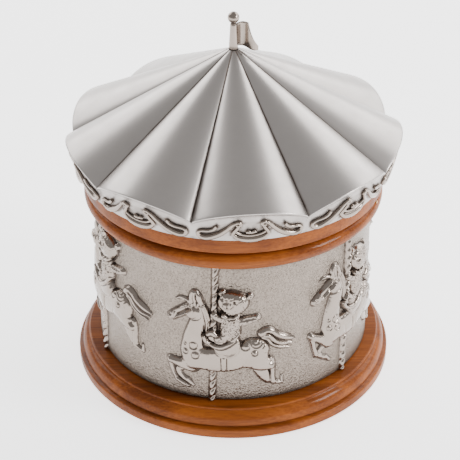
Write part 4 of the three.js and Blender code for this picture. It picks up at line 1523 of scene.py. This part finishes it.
@dataclass
class Rider:
    """A galloping horse with a teddy bear, cast round a twisted pole."""

    number: int
    degrees: float
    lift: float
    reaching: bool = False
    pitch: float = 0.21
    drum_radius: float = node_radius("drum_shell")
    pole_bottom: float = node_levels("drum_shell")[0] + 0.9
    pole_top: float = node_levels("drum_shell")[1] - 0.1
    pole_pitch: float = 3.7
    pole_lean: float = 0.023
    twist: float = 1.15
    pole_upright: float = 44
    table: float = -1
    board_ends: Point2 = (-21.5, 34.0)
    lower_pole: Point2 = (0.9, 1.45)
    upper_pole: Point2 = (1.2, 1.35)
    belly: float = 33
    withers: float = 44

    def twisted_pole(self, board: Modelling, low: float, high: float, base: float, radius: float) -> None:
        """Models a stretch of the twisted pole.

        Args:
            board: The relief.
            low: Its lower end above the table.
            high: Its upper end.
            base: How proud its edge stands.
            radius: Its half width.
        """
        lift = board.lift
        board.lift = 0
        foot, head = ((end - self.pole_upright) * self.pole_lean for end in (low, high))
        cover = board.layer([Limb(((foot, low, radius), (head, high, radius)), base, radius * 0.9, 0)], 0.3)
        turn = board.z / self.pole_pitch - board.s / (radius * 3.1)
        ridge = np.abs(np.sin(np.pi * turn))
        board.height += np.where(cover, self.twist * (ridge - 0.6), 0)
        board.lift = lift

    def legs(self) -> tuple[list[Limb], list[Limb]]:
        """Draws the legs.

        Returns:
            The near legs, which melt into the trunk, and the far ones behind it.
        """
        shoulder = (-8.8, 28.9, 3.2)
        if self.reaching:
            near = [Limb((shoulder, (-13.2, 31.6, 2.2), (-18.6, 35.4, 1.3)), 1.1, 1.2),
                    Limb(((-18.6, 35.4, 1.2), (-17.4, 30.4, 1.0), (-16.0, 25.6, 1.0)), 1.0, 0.9),
                    Limb(((-15.8, 25.0, 1.15), (-12.8, 23.0, 0.75)), 1.0, 0.9)]
        else:
            near = [Limb((shoulder, (-13.0, 29.4, 2.2), (-17.8, 30.4, 1.3)), 1.1, 1.2),
                    Limb(((-18.2, 30.2, 1.2), (-17.0, 25.4, 1.0), (-15.0, 21.2, 1.0)), 1.0, 0.9),
                    Limb(((-14.7, 21.0, 1.1), (-12.7, 19.8, 1.25), (-10.4, 18.6, 0.7)), 1.0, 0.9)]
        near += [
            Limb(((15.8, 33.8, 5.4), (18.8, 31.2, 3.2), (22.2, 30.0, 1.6)), 1.5, 1.7),
            Limb(((22.9, 32.4, 0.9), (23.1, 29.2, 1.2), (23.1, 25.4, 1.05), (23.3, 21.8, 1.1)), 1.0, 0.9),
            Limb(((23.3, 21.4, 1.15), (25.2, 20.6, 0.95), (27.2, 20.1, 0.5)), 1.0, 0.8, 0),
            Limb(((27.1, 20.4, 0.5), (27.0, 23.2, 0.6)), 1.0, 0.7, 0),
            Limb(((20.6, 32.7, 1.0), (22.2, 33.2, 0.8)), 1.2, 0.9, 0),
        ]
        far = [
            Limb(((-12.0, 28.2, 1.8), (-14.4, 25.8, 1.3), (-13.0, 23.2, 1.15), (-11.0, 21.8, 1.1)), 0.5, 0.7),
            Limb(((-10.8, 22.0, 1.1), (-8.4, 19.4, 0.7)), 0.5, 0.8, 0),
            Limb(((18.2, 28.4, 2.8), (19.8, 25.0, 2.4), (21.4, 22.4, 1.6)), 0.5, 0.8),
        ]
        return near, far

    def horse(self, board: Modelling) -> None:
        """Models the horse.

        Args:
            board: The relief.
        """
        near, far = self.legs()
        board.layer(far, 0.5)
        tail = [
            Limb(((18.2, 45.4, 1.5), (20.4, 46.9, 1.35), (22.6, 46.2, 1.3), (24.8, 44.0, 1.2),
                  (27.8, 42.3, 1.4), (31.8, 40.2, 0.5)), 1.0, 1.3),
            Limb(((19.0, 44.6, 1.0), (21.6, 43.8, 1.0), (23.6, 41.4, 1.0), (26.6, 39.4, 0.9),
                  (31.0, 38.4, 0.4)), 0.8, 1.1),
            Limb(((19.0, 43.6, 0.9), (20.9, 42.4, 0.8), (22.8, 39.6, 0.8), (25.8, 37.6, 0.8),
                  (30.2, 36.4, 0.35)), 0.6, 1.0),
        ]
        for strand in reversed(tail):
            board.layer([strand], 0.3, 0.3)
        trunk = [
            Limb(((-7.6, 33.7, 5.4), (-2.0, 33.2, 5.5), (4.8, 33.6, 6.0), (10.2, 35.2, 5.9),
                  (15.4, 37.3, 6.3)), 1.5, 2.0),
            Limb(((-8.6, 36.4, 4.9), (-8.0, 42.8, 4.1), (-6.5, 48.6, 3.6), (-4.9, 54.4, 2.9)), 1.1, 1.8),
            Limb(((-6.9, 57.2, 3.3), (-10.4, 55.6, 2.7), (-13.8, 53.3, 2.2), (-16.9, 50.9, 2.0)), 1.2, 1.1),
            *near,
        ]
        body = board.layer(trunk, 1.5, 0.3)
        board.layer([Limb(((-7.2, 54.9, 2.7), (-8.4, 54.3, 2.4)), 1.9, 1.1, 0)], 0.6, 0.45)
        board.trace(self.harness() + self.spots(), body)
        self.mane(board)

    def harness(self) -> list[Line | Circle]:
        """Draws the bridle, the folds and the joints of the legs.

        Returns:
            The lines.
        """
        return [
            Line(((-15.4, 54.9), (-15.1, 52.8), (-14.2, 50.4)), 0.34, 0.75),
            Line(((-17.6, 53.0), (-17.2, 51.4), (-16.3, 49.4)), 0.3, 0.5),
            Line(((-9.0, 59.6), (-8.2, 57.8), (-7.2, 56.0)), 0.32, 0.6),
            Line(((-15.0, 54.6), (-12.2, 56.4), (-8.9, 58.6)), 0.26, 0.7),
            Line(((-14.4, 51.9), (-11.6, 53.6), (-8.2, 56.3)), 0.26, 0.7),
            Line(((-13.9, 53.3), (-11.8, 54.9), (-9.6, 56.8)), 0.4, -0.9),
            Line(((-17.6, 50.6), (-15.6, 49.6)), 0.25, -0.7),
            Line(((-17.2, 52.2), (-16.7, 52.0)), 0.3, -0.6),
            Line(((-10.4, 57.3), (-9.8, 56.9)), 0.35, 0.6),
            Line(((-2.6, 33.8), (-1.8, 30.4), (-2.8, 28.6)), 0.5, -0.22),
            Line(((12.2, 33.4), (11.2, 30.6), (12.0, 28.8)), 0.5, -0.25),
            Line(((19.8, 37.2), (20.3, 35.2), (19.7, 33.6)), 0.3, -0.2),
        ]

    def spots(self) -> list[Line | Circle]:
        """Draws the dapples on chest and rump.

        Returns:
            The discs, rings and lines.
        """
        return [
            *self.dapple((-7.6, 40.0), 1.6), *self.dapple((-10.7, 36.9), 1.1),
            *self.dapple((-6.8, 35.8), 1.5), *self.dapple((-10.9, 40.4), 0.6),
            *self.dapple((12.2, 40.8), 1.5), *self.dapple((16.4, 42.0), 1.9), *self.dapple((15.6, 37.8), 1.2),
            Circle((16.2, 42.8), 1.0, 0.35, -0.5), Circle((15.8, 37.7), 0.45, 0.22, 0.4),
            Line(((19.8, 40.4), (18.7, 39.0), (19.6, 37.4)), 0.24, 0.4),
        ]

    def dapple(self, centre: Point2, radius: float) -> list[Circle]:
        """Draws a dapple.

        Args:
            centre: Its centre.
            radius: Its radius.

        Returns:
            A low disc with a fine groove round it.
        """
        return [Circle(centre, radius, 0.2, -0.5), Circle(centre, 0, radius * 0.7, 0.3)]

    def mane(self, board: Modelling) -> None:
        """Models the mane, the ear and the forelock.

        Args:
            board: The relief.
        """
        board.layer([
            Limb(((-6.2, 61.4, 1.2), (-4.4, 58.4, 1.6), (-2.9, 54.4, 1.6), (-2.1, 50.0, 1.4),
                  (-2.4, 46.0, 1.1), (-3.0, 43.0, 0.6)), 1.7, 0.8)], 0.4, 0.35)
        strands = [
            Line(((-7.0, 61.6), (-5.2, 58.8), (-3.8, 54.8), (-3.0, 50.4), (-3.2, 45.6)), 0.22, -0.6),
            Line(((-5.8, 61.6), (-4.0, 58.4), (-2.6, 54.2), (-1.9, 50.0), (-2.3, 45.4)), 0.22, -0.6),
            Line(((-4.8, 60.4), (-3.2, 57.2), (-1.8, 53.4), (-1.2, 49.6)), 0.2, -0.5),
        ]
        board.trace(strands)
        board.layer([
            Limb(((-8.0, 59.2, 1.5), (-8.2, 62.0, 1.5), (-7.6, 64.2, 1.0)), 1.1, 1.1),
            Limb(((-6.7, 64.3, 0.9), (-5.6, 62.2, 1.2), (-4.9, 59.8, 1.2)), 1.1, 1.0),
        ], 0.3, 0.45)
        board.trace([Line(((-7.9, 63.4), (-8.2, 61.6), (-7.7, 59.6)), 0.4, -0.8),
                     Line(((-6.9, 63.6), (-6.6, 61.4), (-6.2, 59.4)), 0.24, -0.8)])
        forelock = ((-14.9, 59.5, 0.35), (-12.6, 60.3, 0.95), (-10.2, 60.0, 0.9), (-8.4, 58.6, 0.7))
        board.layer([Limb(forelock, 0.9, 0.8)], 0.3, 0.3)
        board.trace([Line(((-13.8, 59.7), (-12.2, 59.9), (-10.4, 59.5)), 0.28, -0.7)])

    def saddle(self, board: Modelling) -> None:
        """Models the saddle, its cloth and the girth.

        Args:
            board: The relief.
        """
        cloth = board.layer([Limb(((4.9, 41.1, 5.2), (5.3, 41.3, 5.2)), 3.7, 0.12, 0)], 0.3, 0.15)
        board.trace([Circle((5.1, 41.2), 4.8, 0.22, 0.3)], cloth & (board.z - board.lift < 42.2))
        board.trace([Line(((2.9, 35.4), (3.0, 28.4)), 0.24, -0.55),
                     Line(((5.1, 35.4), (5.1, 28.2)), 0.24, -0.55)])
        board.trace([Line(((4.0, 35.2), (4.0, 28.6)), 0.7, 0.25)])
        board.layer([Limb(((-0.6, 44.2, 2.2), (4.2, 44.4, 2.4)), 2.6, 0.2, 0)], 0.4, 0.3)
        board.layer([
            Limb(((-3.4, 45.4, 0.8), (-2.6, 43.2, 0.95), (-0.4, 41.4, 1.05), (2.9, 40.9, 1.05),
                  (5.8, 42.3, 1.05), (8.3, 45.0, 1.05), (9.8, 46.8, 0.85)), 3.3, 1.1)], 0.4, 0.5)
        board.layer([Limb(((-1.9, 46.4, 1.0), (-0.6, 47.2, 1.3), (0.8, 46.2, 1.2)), 2.6, 1.3)], 0.5, 0.35)

    def bear(self, board: Modelling) -> None:
        """Models the teddy bear.

        Args:
            board: The relief.
        """
        board.layer([Limb(((5.4, 45.4, 2.4), (3.4, 44.6, 1.7), (1.6, 44.4, 1.4)), 2.7, 1.2)], 0.5, 0.3, 0.1)
        board.layer([
            Limb(((6.4, 48.0, 4.2), (6.5, 51.0, 3.9), (6.6, 53.4, 3.4)), 1.9, 1.9, 0)], 0.6, 0.4, 0.16)
        board.layer([Limb(((3.2, 53.2, 1.6), (1.4, 54.2, 1.45), (0.2, 55.2, 1.4)), 2.2, 1.0)], 0.4, 0.3, 0.1)
        board.layer([
            Limb(((9.2, 51.4, 1.8), (12.8, 52.3, 1.85), (16.8, 53.2, 1.6)), 1.3, 1.2)], 0.4, 0.4, 0.12)
        board.layer([
            Limb(((3.4, 65.2, 1.5), (3.5, 65.1, 1.5)), 1.8, 1.1, 0),
            Limb(((14.0, 63.4, 1.45), (14.0, 63.3, 1.45)), 1.8, 1.1, 0)], 0.4, 0.4, 0.06)
        board.trace([
            Line(((3.5, 65.1), (3.6, 65.0)), 0.6, -0.7), Line(((13.9, 63.4), (13.8, 63.3)), 0.55, -0.7)])
        board.layer([
            Limb(((6.6, 61.2, 5.0), (8.8, 60.7, 4.9)), 2.0, 2.7, 0),
            Limb(((7.2, 58.6, 4.0), (8.0, 58.6, 4.0)), 2.0, 2.0, 0)], 0.8, 0.5, 0.08)
        board.layer([Limb(((5.0, 60.7, 1.7), (5.8, 60.5, 1.8)), 4.4, 0.9, 0)], 0.7, 0.3)
        board.trace([
            Line(((4.8, 61.8), (5.6, 61.7)), 0.5, 0.5), Line(((5.2, 61.2), (5.3, 60.2)), 0.22, -0.7),
            Line(((3.9, 60.2), (4.6, 59.7), (5.3, 60.0), (6.1, 59.5), (6.9, 59.9)), 0.26, -0.8),
            Line(((3.5, 63.4), (3.6, 63.3)), 0.5, -1.0), Line(((7.9, 62.4), (8.0, 62.3)), 0.5, -1.0)])
        board.layer([
            Limb(((3.9, 55.6, 1.1), (5.4, 54.8, 0.6), (6.6, 54.8, 0.8), (7.8, 54.8, 0.6), (9.2, 55.6, 1.1)),
                 3.4, 0.8)], 0.3, 0.5)
        board.trace([Line(((10.4, 50.9), (13.4, 51.1), (16.6, 52.0)), 0.3, 0.4),
                     Line(((11.0, 52.8), (13.6, 53.2), (15.6, 53.6)), 0.5, -0.6)])

    def build(self, looks: dict[Slot, Any]) -> None:
        """Makes the relief.

        Args:
            looks: The material of each slot.
        """
        board = Modelling(self.board_ends, (self.pole_bottom - 0.6, self.pole_top + 0.1), self.pitch,
                          self.lift + self.table, self.number)
        self.twisted_pole(board, self.pole_bottom, self.belly + self.lift, *self.lower_pole)
        self.horse(board)
        self.twisted_pole(board, self.withers + self.lift, self.pole_top, *self.upper_pole)
        self.saddle(board)
        self.bear(board)
        board.height += 0.02 * board.hair(0.3, 1.2) * (board.height > 0.5)
        skin = board.skin(self.drum_radius, self.degrees)
        node = f"horse_relief_{self.number}"
        skin.piece(f"rider_{self.number}", looks[Slot.POLISHED], Body.CAROUSEL, Slot.POLISHED, [node], 75)


@dataclass
class Riders:
    """The six riders round the drum, at three heights."""

    count: int = 6
    first: float = -7.9
    lifts: tuple[float, ...] = (0, 3, 8)

    def build(self, looks: dict[Slot, Any]) -> None:
        """Makes the riders.

        Args:
            looks: The material of each slot.
        """
        for index in range(self.count):
            step = index % len(self.lifts)
            degrees = self.first + index * 360 / self.count
            Rider(index + 1, degrees, self.lifts[step], reaching=step == 1).build(looks)


# ------------------------------------------------------------------ movement and studio


class Movement:
    """The pieces that keep their CAD shape, each given its own finish."""

    def dress(self, looks: dict[Slot, Any]) -> int:
        """Gives every shown CAD node its material.

        Args:
            looks: The material of each slot.

        Returns:
            How many nodes were dressed.
        """
        slots = {part["node"]: Slot(part["material_slot"]) for part in frame["record"]["subparts"]}
        shown = [name for name, made in frame["nodes"].items() if not made.hide_render]
        for name in shown:
            made = frame["nodes"][name]
            made.data.materials.clear()
            made.data.materials.append(looks[slots[name]])
        return len(shown)


@dataclass(frozen=True)
class Softbox:
    """One soft studio light that faces the carousel.

    Args:
        name: Its name.
        place: Where it stands, in millimetres.
        width: Its width.
        height: Its height.
        glow: Its brightness, where white paper in full light has 1.
    """

    name: str
    place: Point3
    width: float
    height: float
    glow: float


@dataclass
class Studio:
    """The camera, the pale floor and the soft light."""

    camera_place: Point3 = (-1.34, -616.1, 445.6)
    camera_tilt: float = 32.24
    lens: float = 139.35
    sensor: float = 36
    floor_size: float = 6000
    floor_drop: float = 0.05
    floor_glow: float = 2.1
    floor_tint: Colour = (0.93, 0.93, 0.93, 1)
    aim: Point3 = (0, 0, 70)
    sky: float = 0.6
    lights: tuple[Softbox, ...] = (
        Softbox("back_wall", (0, 1500, 520), 2400, 900, 2.2),
        Softbox("right_softbox", (1000, 783, 850), 1300, 1000, 4.6),
        Softbox("left_softbox", (-900, 900, 850), 1200, 900, 4),
        Softbox("key_light", (1100, -350, 600), 420, 420, 24),
    )

    def camera(self) -> None:
        """Places the camera in front and above, looking down at the carousel."""
        data = bpy.data.cameras.new("camera")
        data.lens = self.lens
        data.sensor_width = self.sensor
        data.clip_start, data.clip_end = 0.01, 50
        made = placed("camera", data)
        made.location = Vector(self.camera_place) * MM
        made.rotation_euler = (math.radians(90 - self.camera_tilt), 0, 0)
        bpy.context.scene.camera = made

    def floor(self) -> None:
        """Lays a plain pale floor."""
        half = self.floor_size / 2
        drop = -self.floor_drop
        edge = [(-half, -half, drop), (half, -half, drop), (half, half, drop), (-half, half, drop)]
        mesh = bpy.data.meshes.new("floor")
        mesh.from_pydata([tuple(c * MM for c in corner) for corner in edge], [], [(0, 1, 2, 3)])
        shader = Shader("pale_floor")
        mesh.materials.append(shader.done({
            "Base Color": self.floor_tint, "Roughness": 0.9,
            "Emission Color": WHITE, "Emission Strength": self.floor_glow}))
        made = placed("floor", mesh)

    def light(self) -> None:
        """Hangs the softboxes and sets the sky."""
        for box in self.lights:
            data = bpy.data.lights.new(box.name, "AREA")
            data.shape = "RECTANGLE"
            data.size, data.size_y = box.width * MM, box.height * MM
            data.energy = box.glow * math.pi * data.size * data.size_y
            made = placed(box.name, data)
            made.location = Vector(box.place) * MM
            towards = (Vector(self.aim) - Vector(box.place)).normalized()
            made.rotation_euler = towards.to_track_quat("-Z", "Y").to_euler()
        world = bpy.data.worlds.new("studio")
        world.use_nodes = True
        world.node_tree.nodes["Background"].inputs[0].default_value = WHITE
        world.node_tree.nodes["Background"].inputs[1].default_value = self.sky
        bpy.context.scene.world = world

    def build(self) -> None:
        """Sets up the studio."""
        self.camera()
        self.floor()
        self.light()


def main() -> None:
    """Builds the carousel and the studio."""
    logging.basicConfig(level=logging.INFO, format="%(name)s: %(message)s")
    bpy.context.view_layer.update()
    looks = finishes()
    stippled = STIPPLED.make()
    canopy, scrolls = Canopy(), Scrolls()
    Plinth().build(looks)
    LOG.info("foot turned")
    Drum().build(stippled)
    TopRing().build(looks)
    LOG.info("drum and top ring made")
    canopy.build(FLUTED.make(), scrolls)
    scrolls.build(canopy, looks)
    LOG.info("roof and scrollwork cast")
    Finial().build(looks)
    Pennant().build(looks)
    Riders().build(looks)
    LOG.info("riders modelled")
    LOG.info("%d pieces keep their own shape", Movement().dress(looks))
    Studio().build()


if __name__ == "__main__":
    main()
